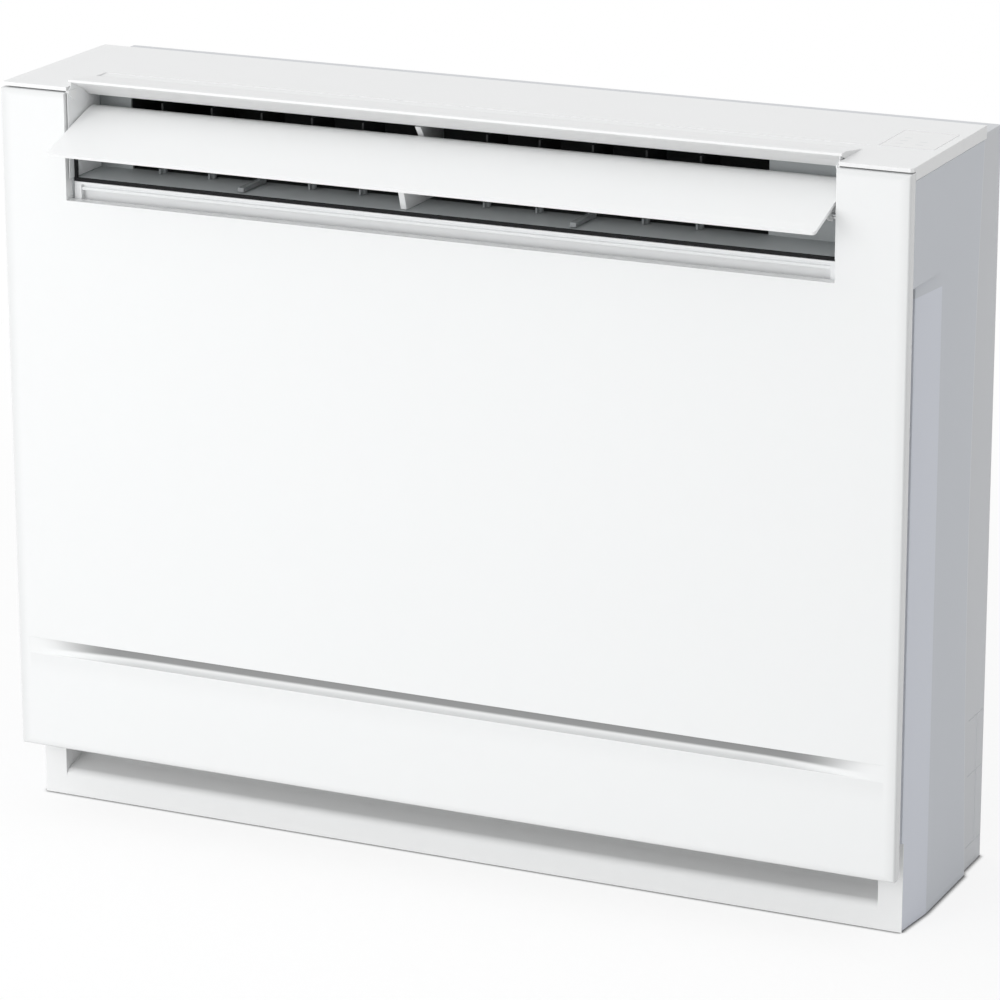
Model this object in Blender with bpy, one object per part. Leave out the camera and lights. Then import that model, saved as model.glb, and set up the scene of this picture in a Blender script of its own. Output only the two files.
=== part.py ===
"""A floor console air conditioner, built from its separate pieces.

Metres, +Z up. The front faces -Y and +X is to the right seen from the front. The origin is on the floor,
under the middle of the body. The air flap is modelled open and every other moving piece is at rest.
"""

import math

import bmesh
import bpy
from mathutils import Vector

# Whole body
WIDTH = 0.750
HEIGHT = 0.600
DEPTH = 0.207
GAP = 0.0003
LAP = 0.0004
WALL = 0.003
SHEET = 0.0015

# Front panel
PANEL_DEPTH = 0.010
PANEL_BOTTOM = 0.051
PANEL_TOP_GAP = 0.001
POST_WIDTH = 0.0565
SILL_DROP = 0.0887
GROOVE_TOP = 0.143
GROOVE_HEIGHT = 0.013
GROOVE_DEPTH = 0.009
GROOVE_MARGIN = 0.010
GROOVE_RUN_OUT = 0.075
PANEL_PIN_BACK = 0.0095
PANEL_PIN_RISE = 0.010
PANEL_PIN_RADIUS = 0.0025
PANEL_ARM_WIDTH = 0.0057
PANEL_ARM_RADIUS = 0.0055

# Casing around the inlet
INLET_GAP = 0.0195
FLANGE_WIDTH = 0.015
TAPER_INSET = 0.005
TAPER_LENGTH = 0.044
COVER_BACK_INSET = 0.0425
COVER_FRONT_SETBACK = 0.004
SKIRT_DROP = 0.010
SIDE_BACK_INSET = 0.0455
SIDE_BOW = 0.012
INLET_HEAD_RISE = 0.0017

# Top cover visor and window
VISOR_RISE = 0.005
VISOR_SETBACK = 0.0088
VISOR_NOSE = 0.0018
VISOR_FLAT = 0.009
VISOR_THICKNESS = 0.0018
VISOR_BEND_SETBACK = 0.0275
VISOR_BEND_DROP = 0.010
VISOR_FOOT_SETBACK = 0.0372
VISOR_FOOT_DROP = 0.0162
CREASE_SETBACK = 0.067
CREASE_DROP = 0.001
WINDOW_WIDTH = 0.043
WINDOW_MARGIN = 0.007
WINDOW_FRONT = 0.0685
WINDOW_LENGTH = 0.056
WINDOW_THICKNESS = 0.0012

# Rear chassis
CHASSIS_INSET = 0.0033
CHASSIS_DEPTH = 0.0835
CHASSIS_DROP = 0.008
KNOCKOUT_TOP = 0.123
KNOCKOUT_MIDDLE = 0.077
KNOCKOUT_LOW = 0.018
KNOCKOUT_FRONT_INSET = 0.0355
KNOCKOUT_MIDDLE_INSET = 0.0165
KNOCKOUT_GROOVE = 0.001
WALL_HOLE_RADIUS = 0.004
WALL_HOLE_INSET = 0.072
WALL_HOLE_HEIGHT = 0.045

# Base
SCOOP_LIP = 0.0205
SCOOP_CURVE = ((0.25, 0.05), (0.5, 0.1), (0.73, 0.18), (0.9, 0.33), (0.98, 0.55), (1.0, 0.8))
LUG_THICKNESS = 0.0035

# Outlet duct
CEILING_DROP = 0.0124
FLOOR_DROP = 0.0725
DUCT_WALL = 0.0025
DUCT_MOUTH_INSET = 0.001
BLOCK_SETBACK = 0.0555
LEFT_BLOCK_WIDTH = 0.0275
RIGHT_BLOCK_WIDTH = 0.0725
THROAT_RADIUS = 0.016
ELBOW_RADIUS = 0.067
DUCT_DEPTH_UNDER_FLOOR = 0.0225
DIVIDER_SHIFT = -0.0355
DIVIDER_THICKNESS = 0.005
DIVIDER_FOOT = 0.0046
DIVIDER_NECK = (0.012, 0.013)
DIVIDER_HEEL = (0.026, 0.0065)
DIVIDER_TAIL = 0.030
DIVIDER_TAIL_DROP = 0.018

# Outlet frame and seal
SEAL_THICKNESS = 0.0024
SEAL_BAR_HEIGHT = 0.020
RIB_STEP = 0.0032
RIB_SETBACK = 0.0011
RIB_SHOULDER = 0.0044
FACE_SETBACK = 0.0058
END_BAR_WIDTH = 0.0062
FRAME_DROP = 0.0257

# Air flap
FLAP_PIVOT_BACK = 0.0129
FLAP_PIVOT_DROP = 0.0413
FLAP_END_GAP = 0.0020
FLAP_THICKNESS = 0.0026
FLAP_DRUM_RADIUS = 0.0375
FLAP_OPEN_ANGLE = math.radians(71.0)
FLAP_ARM_THICKNESS = 0.0025
FLAP_ARM_INSET = 0.0045
FLAP_ARM_DROP = 0.022
FLAP_ARM_RISE = 0.018
FLAP_CORNER = 0.009
FLAP_CORNER_ANGLE = math.radians(104)
FLAP_DRUM_END = math.radians(52)
FLAP_ROUND = ((0.0001, 0.020), (0.0008, 0.029), (0.0022, 0.0335))
PIN_HEAD_RADIUS = 0.0028
PIN_HEAD_LENGTH = 0.001
FLAP_BOSS_RADIUS = 0.005
FLAP_PIN_RADIUS = 0.0015
FLAP_MOTOR_RADIUS = 0.0085
FLAP_MOTOR_LENGTH = 0.014

# Vanes
VANES_IN_GROUP = 5
LEFT_VANE_MARGINS = (0.0295, 0.0485)
RIGHT_VANE_MARGINS = (0.0510, 0.0530)
VANE_THICKNESS = 0.0016
VANE_PIN_SETBACK = 0.0515
VANE_TOE = 0.006
VANE_REACH = 0.037
VANE_TOP_GAP = 0.0046
VANE_SHOULDER = 0.0085
VANE_CHIN = 0.0035
VANE_DRUM_GAP = 0.0015
VANE_PIN_RADIUS = 0.002
VANE_FOOT_RADIUS = 0.0032
LINK_ARM = 0.024
LINK_WIDTH = 0.007
LINK_THICKNESS = 0.003
LINK_PEG_RADIUS = 0.0015
LINK_END = 0.008
LINK_TAIL = 0.028
LEVER_REACH = 0.036
LEVER_WIDTH = 0.005
LEVER_THICKNESS = 0.0035

# Fan
CHANNEL_BOTTOM = 0.075
CHANNEL_HEIGHT = 0.037
CHANNEL_RADIUS = 0.065
CHANNEL_FRONT_SETBACK = 0.0395
BELL_SETBACK = 0.0600
BELL_INSET = 0.030
COLLAR_LENGTH = 0.018
FAN_CLEARANCE = 0.0365
FAN_DROP = 0.0085
FAN_RUNNING_GAP = 0.003
FAN_BLADES = 7
BLADE_THICKNESS = 0.003
BLADE_CHORD = 0.065
BLADE_SWEEP = math.radians(38.0)
BLADE_STEPS = 4
SHROUD_RISE = 0.006
SHROUD_REACH = 0.014
HUB_LENGTH = 0.028
SHAFT_RADIUS = 0.004
MOTOR_RADIUS = 0.045
MOTOR_LENGTH = 0.024
MOTOR_GAP = 0.003
BRACKET_HALF = 0.070
BRACKET_THICKNESS = 0.0081

# Heat exchanger and drain pan
COIL_BACK_GAP = 0.008
COIL_THICKNESS = 0.034
COIL_TOP_GAP = 0.0107
COIL_END_GAP = 0.006
FIN_PITCH = 0.010
FIN_GROOVE = 0.0035
FIN_GROOVE_DEPTH = 0.004
END_PLATE_MARGIN = 0.002
PAN_HEIGHT = 0.022
PAN_FRONT_MARGIN = 0.008
PAN_END_MARGIN = 0.009
PAN_RIB_HEIGHT = 0.009
SPOUT_RADIUS = 0.0055
SPOUT_LENGTH = 0.016
GAS_PIPE_RADIUS = 0.006
LIQUID_PIPE_RADIUS = 0.0032
GAS_HEADER_OUT = 0.031
LIQUID_HEADER_OUT = 0.019
GAS_RUN_HEIGHT = 0.045
LIQUID_RUN_HEIGHT = 0.085
PIPE_END_INSET = 0.0285
NUT_LENGTH = 0.017
GAS_NUT_RADIUS = 0.013
LIQUID_NUT_RADIUS = 0.009

# Lower damper
DAMPER_SETBACK = 0.0075
DAMPER_THICKNESS = 0.0024
DAMPER_BARREL_RADIUS = 0.003
DAMPER_PIN_RADIUS = 0.002
DAMPER_TOP_GAP = 0.009
DAMPER_MOTOR_RADIUS = 0.009
DAMPER_MOTOR_LENGTH = 0.013

# Filter frame, filters, button and sensor
FRAME_THICKNESS = 0.0035
WINDOW_INSET = 0.010
CENTRE_BAR = 0.015
BAR_WIDTH = 0.004
GRID_COLUMNS = 4
GRID_ROWS = 5
FILTER_THICKNESS = 0.0026
FILTER_BORDER = 0.006
FILTER_POCKET = 0.0018
FILTER_LIFT = 0.012
FILTER_OVERLAP = 0.005
HOOK_WIDTH = 0.016
HOOK_THICKNESS = 0.0018
HOOK_HEIGHT = 0.010
HOOK_INSET = 0.055
BUTTON_RADIUS = 0.004
BUTTON_PROUD = 0.0025
BUTTON_COLLAR = 0.0015
BUTTON_DROP = 0.030
BUTTON_INSET = 0.075
BUTTON_EDGE = 0.0008
SENSOR_RADIUS = 0.003
SENSOR_LENGTH = 0.026
SENSOR_INSET = 0.036
SENSOR_HEIGHT = 0.300
SCREW_RADIUS = 0.002
SCREW_HEAD_RADIUS = 0.004
SCREW_HEAD_HEIGHT = 0.0022
SCREW_LENGTH = 0.010
SCREW_TOP_INSET = 0.025
SCREW_BOTTOM_INSET = 0.023

# Electrical box, boards and ion unit
BOX_WIDTH = 0.100
BOX_RIGHT_INSET = 0.009
BOX_LIFT = 0.023
BOX_TOP_GAP = 0.035
BOX_FRONT_SETBACK = 0.014
BOX_BACK_INSET = 0.0635
BOX_WALL = 0.002
BOX_TAB = 0.020
BOARD_THICKNESS = 0.0016
BOARD_MARGIN = 0.008
STANDOFF_LENGTH = 0.016
STANDOFF_RADIUS = 0.003
TERMINAL_HEIGHT = 0.025
TERMINAL_DEPTH = 0.014
TERMINAL_WAYS = 5
TERMINAL_SLOT_SHARE = 0.76
INDICATOR_BOARD_LENGTH = 0.044
INDICATOR_BOARD_WIDTH = 0.034
ION_UNIT_WIDTH = 0.040
ION_UNIT_LENGTH = 0.030
ION_UNIT_HEIGHT = 0.035

# Clearances of moving pieces
PIN_CLEARANCE = 0.0003

# Places and sizes that follow from the sizes above
HALF = WIDTH / 2
FRONT = -DEPTH / 2
BACK = DEPTH / 2
PANEL_REAR = FRONT + PANEL_DEPTH
BODY_TOP = HEIGHT - VISOR_RISE
PANEL_TOP = BODY_TOP - WALL - PANEL_TOP_GAP
CASING_FRONT = PANEL_REAR + INLET_GAP
FLANGE_HALF = HALF - TAPER_INSET
FLANGE_INNER = FLANGE_HALF - FLANGE_WIDTH
MOUTH_HALF = HALF - POST_WIDTH
SILL = BODY_TOP - SILL_DROP
INLET_HEAD = SILL + INLET_HEAD_RISE
SIDE_TOP = BODY_TOP - SKIRT_DROP - GAP
DUCT_HALF = MOUTH_HALF - DUCT_MOUTH_INSET
CEILING = BODY_TOP - CEILING_DROP
FLOOR = BODY_TOP - FLOOR_DROP
DUCT_BOTTOM = FLOOR - DUCT_DEPTH_UNDER_FLOOR
DUCT_FRONT = PANEL_REAR + GAP
MOUTH_BACK = FRONT + BLOCK_SETBACK
THROAT_LEFT = -DUCT_HALF + LEFT_BLOCK_WIDTH
THROAT_RIGHT = DUCT_HALF - RIGHT_BLOCK_WIDTH
THROAT_MIDDLE = (THROAT_LEFT + THROAT_RIGHT) / 2
COVER_REAR = BACK - COVER_BACK_INSET
SIDE_REAR = BACK - SIDE_BACK_INSET
KNOCKOUT_FRONT = BACK - KNOCKOUT_FRONT_INSET
KNOCKOUT_MIDLINE = BACK - KNOCKOUT_MIDDLE_INSET
PIPE_END = BACK - PIPE_END_INSET
CHASSIS_HALF = HALF - CHASSIS_INSET
CHASSIS_FRONT = BACK - CHASSIS_DEPTH
CHASSIS_TOP = BODY_TOP - CHASSIS_DROP
BACK_INNER = BACK - SHEET
CASING_BACK = BACK_INNER - GAP
DUCT_BACK = CASING_BACK - WALL
MOTOR_BACK = DUCT_BACK - BRACKET_THICKNESS - 2 * GAP
MOTOR_FRONT = MOTOR_BACK - MOTOR_LENGTH
FAN_DISC_FRONT = MOTOR_FRONT - MOTOR_GAP - BLADE_THICKNESS
BELL_REAR = CASING_FRONT + BELL_SETBACK + WALL
BELL_FRONT = CASING_FRONT + BELL_SETBACK
FLAP_MOTOR_START = MOUTH_HALF + WALL + GAP
FLAP_PIVOT = (FRONT + FLAP_PIVOT_BACK, BODY_TOP - FLAP_PIVOT_DROP)
VISOR_FRONT = FRONT + VISOR_SETBACK
VISOR_FOOT = FRONT + VISOR_FOOT_SETBACK
SEAL_FRONT = PANEL_REAR + 2 * GAP
SEAL_BACK = SEAL_FRONT + WALL
FRAME_FRONT = CASING_FRONT + WALL + GAP
FRAME_BACK = FRAME_FRONT + FRAME_THICKNESS
PAN_BOTTOM = CHANNEL_BOTTOM + CHANNEL_HEIGHT
FAN_RADIUS = (DUCT_BOTTOM - PAN_BOTTOM) / 2 - FAN_CLEARANCE
FAN_CENTRE = (THROAT_MIDDLE, (DUCT_BOTTOM + PAN_BOTTOM) / 2 - FAN_DROP)
BELL_RADIUS = FAN_RADIUS - BELL_INSET
BLADE_INNER_RADIUS = FAN_RADIUS - BLADE_CHORD
PAN_BACK = BELL_FRONT - GAP
COIL_BACK = BELL_FRONT - COIL_BACK_GAP
COIL_FRONT = COIL_BACK - COIL_THICKNESS
COIL_BOTTOM = PAN_BOTTOM + WALL + PAN_RIB_HEIGHT + GAP
COIL_TOP = DUCT_BOTTOM - COIL_TOP_GAP
COIL_HEIGHT = COIL_TOP - COIL_BOTTOM
COIL_LEFT = THROAT_LEFT + COIL_END_GAP
COIL_RIGHT = THROAT_RIGHT - COIL_END_GAP
DAMPER_PIVOT = (
    CASING_FRONT + CHANNEL_FRONT_SETBACK + DAMPER_SETBACK,
    PAN_BOTTOM - DAMPER_TOP_GAP,
)
LUG_INNER = FLANGE_INNER - GAP - WALL - LUG_THICKNESS
PANEL_PIVOT = (PANEL_REAR + PANEL_PIN_BACK, PANEL_BOTTOM + PANEL_PIN_RISE)
VANE_PIN_Y = FRONT + VANE_PIN_SETBACK
SCREW_LOW = PAN_BOTTOM + SCREW_BOTTOM_INSET
SCREW_HIGH = DUCT_BOTTOM - SCREW_TOP_INSET
BOX_BOTTOM = PAN_BOTTOM + BOX_LIFT
BOX_TOP = DUCT_BOTTOM - BOX_TOP_GAP
BOX_RIGHT = HALF - BOX_RIGHT_INSET
BOX_LEFT = BOX_RIGHT - BOX_WIDTH
BOX_FRONT = CASING_FRONT + BOX_FRONT_SETBACK
BOX_BACK = BACK - BOX_BACK_INSET

# Colour, roughness and metallic value of each finish
FINISHES = {
    "white_gloss": ((0.90, 0.91, 0.92), 0.22, 0.0),
    "white_casing": ((0.85, 0.86, 0.87), 0.38, 0.0),
    "cool_white_casing": ((0.78, 0.79, 0.83), 0.42, 0.0),
    "duct_grey": ((0.17, 0.18, 0.19), 0.55, 0.0),
    "black_foam": ((0.01, 0.01, 0.01), 0.80, 0.0),
    "black_plastic": ((0.03, 0.03, 0.03), 0.50, 0.0),
    "natural_plastic": ((0.62, 0.63, 0.62), 0.50, 0.0),
    "fan_plastic": ((0.10, 0.11, 0.12), 0.50, 0.0),
    "zinc_steel": ((0.60, 0.61, 0.62), 0.35, 1.0),
    "aluminium_fin": ((0.76, 0.78, 0.80), 0.35, 1.0),
    "copper": ((0.72, 0.38, 0.24), 0.30, 1.0),
    "brass": ((0.72, 0.56, 0.27), 0.30, 1.0),
    "circuit_green": ((0.05, 0.22, 0.10), 0.50, 0.0),
    "smoke_window": ((0.70, 0.72, 0.74), 0.12, 0.0),
    "filter_net": ((0.20, 0.21, 0.22), 0.70, 0.0),
}


def clear_scene():
    for obj in list(bpy.data.objects):
        bpy.data.objects.remove(obj, do_unlink=True)


def finish(name):
    """The material of this name, made the first time it is asked for."""
    material = bpy.data.materials.get(name)
    if material is None:
        colour, roughness, metallic = FINISHES[name]
        material = bpy.data.materials.new(name)
        material.use_nodes = True
        shader = material.node_tree.nodes["Principled BSDF"]
        shader.inputs["Base Color"].default_value = (*colour, 1.0)
        shader.inputs["Roughness"].default_value = roughness
        shader.inputs["Metallic"].default_value = metallic
    return material


def add_object(name, mesh_data):
    """An object of this bmesh, with its faces pointing out."""
    bmesh.ops.recalc_face_normals(mesh_data, faces=mesh_data.faces)
    mesh = bpy.data.meshes.new(name)
    mesh_data.to_mesh(mesh)
    mesh_data.free()
    obj = bpy.data.objects.new(name, mesh)
    bpy.context.scene.collection.objects.link(obj)
    return obj


def placed(axis, along, pair):
    """A point from its place along an axis and its two other coordinates, in X, Y, Z order."""
    coordinates = list(pair)
    coordinates.insert("XYZ".index(axis), along)
    return coordinates


def prism(name, axis, outline, low, high):
    """An outline in the plane square to an axis, drawn out from low to high along it."""
    mesh_data = bmesh.new()
    ends = []
    for along in (low, high):
        ends.append([mesh_data.verts.new(placed(axis, along, point)) for point in outline])
    for ring in ends:
        mesh_data.faces.new(ring)
    count = len(outline)
    for i in range(count):
        j = (i + 1) % count
        mesh_data.faces.new((ends[0][i], ends[0][j], ends[1][j], ends[1][i]))
    return add_object(name, mesh_data)


def block(name, x, y, z):
    """A box between two X, two Y and two Z places."""
    outline = [(x[0], y[0]), (x[1], y[0]), (x[1], y[1]), (x[0], y[1])]
    return prism(name, "Z", outline, z[0], z[1])


def arc(centre, radius, start, end, steps):
    """Points on an arc, with its angles in radians."""
    points = []
    for i in range(steps + 1):
        angle = start + (end - start) * i / steps
        points.append((centre[0] + radius * math.cos(angle), centre[1] + radius * math.sin(angle)))
    return points


def rod(name, axis, centre, radius, low, high, sides=16):
    """A round bar along an axis."""
    return prism(name, axis, arc(centre, radius, 0, math.tau, sides)[:-1], low, high)


def ribbon(points, thickness):
    """The outline of a wall of even thickness, on the right of its run of points."""
    normals = []
    for (a, b), (c, d) in zip(points, points[1:]):
        length = math.hypot(c - a, d - b)
        normals.append(((d - b) / length, (a - c) / length))
    offset = []
    for i, (a, b) in enumerate(points):
        before = normals[max(i - 1, 0)]
        after = normals[min(i, len(normals) - 1)]
        spread = 1 + before[0] * after[0] + before[1] * after[1]
        offset.append((
            a + thickness * (before[0] + after[0]) / spread,
            b + thickness * (before[1] + after[1]) / spread,
        ))
    return list(points) + offset[::-1]


def turned(name, centre, profile, sides):
    """A closed profile of (radius, Y) points turned about an axis along Y."""
    mesh_data = bmesh.new()
    rings = []
    for i in range(sides):
        angle = math.tau * i / sides
        ring = []
        for radius, y in profile:
            x = centre[0] + radius * math.cos(angle)
            z = centre[1] + radius * math.sin(angle)
            ring.append(mesh_data.verts.new((x, y, z)))
        rings.append(ring)
    count = len(profile)
    for i in range(sides):
        ring, following = rings[i], rings[(i + 1) % sides]
        for a in range(count):
            b = (a + 1) % count
            mesh_data.faces.new((ring[a], ring[b], following[b], following[a]))
    return add_object(name, mesh_data)


def tube(name, path, radius, sides=12):
    """A round pipe along a path of points, mitred at its bends."""
    mesh_data = bmesh.new()
    points = [Vector(point) for point in path]
    side = Vector((1, 0, 0))
    rings = []
    for i, point in enumerate(points):
        before = (point - points[i - 1]).normalized() if i else None
        after = (points[i + 1] - point).normalized() if i + 1 < len(points) else None
        along = ((before or after) + (after or before)).normalized()
        if abs(side.dot(along)) > 0.9:
            side = Vector((0, 0, 1))
        side = (side - along * side.dot(along)).normalized()
        other = along.cross(side)
        ring = []
        for k in range(sides):
            angle = math.tau * k / sides
            place = point + (side * math.cos(angle) + other * math.sin(angle)) * radius
            ring.append(mesh_data.verts.new(place))
        rings.append(ring)
    for ring, following in zip(rings, rings[1:]):
        for a in range(sides):
            b = (a + 1) % sides
            mesh_data.faces.new((ring[a], ring[b], following[b], following[a]))
    mesh_data.faces.new(rings[0])
    mesh_data.faces.new(rings[-1])
    return add_object(name, mesh_data)


def helper(obj):
    """Keeps a cutter or an added shape out of the finished model."""
    obj.hide_render = True
    obj.display_type = "WIRE"
    return obj


def combine(obj, operation, others):
    for other in others:
        modifier = obj.modifiers.new(other.name, "BOOLEAN")
        modifier.operation = operation
        modifier.solver = "EXACT"
        modifier.object = helper(other)
    return obj


def join(obj, *others):
    return combine(obj, "UNION", others)


def cut(obj, *others):
    return combine(obj, "DIFFERENCE", others)


def dress(obj, finish_name, smooth=False):
    obj.data.materials.append(finish(finish_name))
    if smooth:
        obj.data.shade_smooth()
        obj.data.set_sharp_from_angle(angle=math.radians(35))
    return obj


def hang_on(obj, point):
    """Moves an object's origin to its joint without moving its shape."""
    place = Vector(point)
    for vertex in obj.data.vertices:
        vertex.co -= place
    obj.location = place
    return obj


def turn(points, pivot, angle):
    """Points turned about a pivot in their own plane."""
    cosine, sine = math.cos(angle), math.sin(angle)
    turned_points = []
    for a, b in points:
        da, db = a - pivot[0], b - pivot[1]
        turned_points.append((
            pivot[0] + da * cosine - db * sine,
            pivot[1] + da * sine + db * cosine,
        ))
    return turned_points


def groove_profile(share):
    """Half of the groove's cross-section at one place: depth behind the face and height, sharp edge first."""
    depth = GROOVE_DEPTH * share
    top = GROOVE_TOP
    bottom = GROOVE_TOP - GROOVE_HEIGHT
    return [
        (0.0, top),
        (depth, top - 0.08 * GROOVE_HEIGHT),
        (depth, bottom + 0.62 * GROOVE_HEIGHT),
        (0.45 * depth, bottom + 0.22 * GROOVE_HEIGHT),
        (0.0, bottom),
    ]


def groove_cutter():
    """The lens-shaped groove: its depth fades out towards both ends."""
    mesh_data = bmesh.new()
    end = HALF - GROOVE_MARGIN
    stations = [0.08, 0.35, 0.7, 1.0]
    places = []
    for share in stations:
        places.append((-end + GROOVE_RUN_OUT * (share - stations[0]), share))
    places += [(-x, share) for x, share in reversed(places)]
    rings = []
    for x, share in places:
        ring = []
        for depth, z in groove_profile(share):
            lead = PANEL_DEPTH if depth == 0.0 else 0.0
            ring.append((x, FRONT + depth - lead, z))
        ring.insert(1, (x, FRONT, GROOVE_TOP))
        ring.insert(-1, (x, FRONT, GROOVE_TOP - GROOVE_HEIGHT))
        rings.append([mesh_data.verts.new(point) for point in ring])
    for ring, following in zip(rings, rings[1:]):
        count = len(ring)
        for a in range(count):
            b = (a + 1) % count
            mesh_data.faces.new((ring[a], ring[b], following[b], following[a]))
    mesh_data.faces.new(rings[0])
    mesh_data.faces.new(rings[-1])
    return add_object("groove_cutter", mesh_data)


def build_front_panel():
    outline = [
        (-HALF, PANEL_BOTTOM), (HALF, PANEL_BOTTOM), (HALF, PANEL_TOP), (MOUTH_HALF, PANEL_TOP),
        (MOUTH_HALF, SILL), (-MOUTH_HALF, SILL), (-MOUTH_HALF, PANEL_TOP), (-HALF, PANEL_TOP),
    ]
    panel = prism("front_panel", "Y", outline, FRONT, PANEL_REAR)
    low = GROOVE_TOP - GROOVE_HEIGHT - WALL
    high = GROOVE_TOP + WALL
    inner = HALF - WALL
    lower_pocket = block(
        "panel_lower_pocket",
        (-inner, inner), (FRONT + WALL, BACK), (PANEL_BOTTOM + WALL, low),
    )
    upper_outline = [
        (-inner, high), (inner, high), (inner, PANEL_TOP - WALL), (MOUTH_HALF + WALL, PANEL_TOP - WALL),
        (MOUTH_HALF + WALL, SILL - WALL), (-MOUTH_HALF - WALL, SILL - WALL),
        (-MOUTH_HALF - WALL, PANEL_TOP - WALL), (-inner, PANEL_TOP - WALL),
    ]
    upper_pocket = prism("panel_upper_pocket", "Y", upper_outline, FRONT + WALL, BACK)
    groove_back = block(
        "panel_groove_back", (-inner, inner), (FRONT + GROOVE_DEPTH + WALL, BACK), (low - WALL, high + WALL)
    )
    rib = block(
        "panel_groove_rib", (-inner - GAP, inner + GAP),
        (FRONT + WALL / 2, FRONT + GROOVE_DEPTH + WALL / 2), (low - GAP, high + GAP),
    )
    cut(panel, lower_pocket, upper_pocket, groove_back)
    join(panel, rib)
    cut(panel, groove_cutter())
    y, z = PANEL_PIVOT
    for side in (-1, 1):
        near = side * (LUG_INNER - GAP)
        far = near - side * PANEL_ARM_WIDTH
        arm = [(FRONT + WALL / 2, PANEL_BOTTOM + WALL / 2), (y, z - PANEL_ARM_RADIUS)]
        arm += arc((y, z), PANEL_ARM_RADIUS, -math.pi / 2, math.pi / 2, 6)[1:]
        arm += [(FRONT + WALL / 2, z + PANEL_ARM_RADIUS)]
        join(panel, prism("panel_arm", "X", arm, near, far))
        bore_radius = PANEL_PIN_RADIUS + PIN_CLEARANCE
        cut(panel, rod("panel_arm_bore", "X", (y, z), bore_radius, near + side * WALL, far - side * WALL, 12))
    dress(panel, "white_gloss")
    return hang_on(panel, (0, y, z))


def build_top_cover():
    skin_bottom = BODY_TOP - WALL
    skirt_bottom = BODY_TOP - SKIRT_DROP
    section = [
        (-HALF, skirt_bottom), (-HALF, BODY_TOP), (HALF, BODY_TOP), (HALF, skirt_bottom),
        (HALF - WALL, skirt_bottom), (HALF - WALL, skin_bottom),
        (-HALF + WALL, skin_bottom), (-HALF + WALL, skirt_bottom),
    ]
    cover = prism("top_cover", "Y", section, FRONT + COVER_FRONT_SETBACK, COVER_REAR)
    crease = FRONT + CREASE_SETBACK
    cut(
        cover,
        block("cover_notch", (-MOUTH_HALF, MOUTH_HALF), (FRONT - WALL, crease), (SILL, BODY_TOP + WALL)),
        block("cover_front_clearance", (-WIDTH, WIDTH), (FRONT - WALL, PANEL_REAR + GAP), (SILL, skin_bottom)),
    )
    run = [
        (VISOR_FOOT, HEIGHT - VISOR_FOOT_DROP), (FRONT + VISOR_BEND_SETBACK, HEIGHT - VISOR_BEND_DROP),
        (VISOR_FRONT - VISOR_NOSE, HEIGHT), (VISOR_FRONT + VISOR_FLAT, HEIGHT),
        (crease - 3 * WALL, BODY_TOP - CREASE_DROP), (crease + WALL, BODY_TOP - GAP),
    ]
    visor_section = ribbon(run, VISOR_THICKNESS)
    visor_section[2:3] = [(VISOR_FRONT, HEIGHT - VISOR_NOSE), (VISOR_FRONT, HEIGHT)]
    join(cover, prism("cover_visor", "X", visor_section, -MOUTH_HALF - GAP, MOUTH_HALF + GAP))
    rear_skirt = block(
        "cover_rear_skirt", (-HALF + WALL / 2, HALF - WALL / 2), (COVER_REAR - WALL, COVER_REAR - GAP),
        (CHASSIS_TOP + GAP, BODY_TOP - WALL / 2),
    )
    join(cover, rear_skirt)
    right = HALF - WINDOW_MARGIN
    front = FRONT + WINDOW_FRONT
    recess = block(
        "window_recess", (right - WINDOW_WIDTH, right), (front, front + WINDOW_LENGTH),
        (BODY_TOP - WINDOW_THICKNESS - GAP, BODY_TOP + WALL),
    )
    cut(cover, recess)
    middle = right - WINDOW_WIDTH / 2
    for y in (front + WALL, front + INDICATOR_BOARD_LENGTH - WALL):
        post = rod(
            "indicator_post", "Z", (middle, y), 0.8 * WALL,
            skin_bottom - WALL, skin_bottom + WALL / 4, 10,
        )
        join(cover, post)
    window = block(
        "indicator_window", (right - WINDOW_WIDTH + GAP, right - GAP),
        (front + GAP, front + WINDOW_LENGTH - GAP), (BODY_TOP - WINDOW_THICKNESS, BODY_TOP),
    )
    board = block(
        "indicator_board", (middle - INDICATOR_BOARD_WIDTH / 2, middle + INDICATOR_BOARD_WIDTH / 2),
        (front, front + INDICATOR_BOARD_LENGTH),
        (skin_bottom - WALL - GAP - BOARD_THICKNESS, skin_bottom - WALL - GAP),
    )
    dress(cover, "white_casing")
    dress(window, "smoke_window")
    dress(board, "circuit_green")


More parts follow.
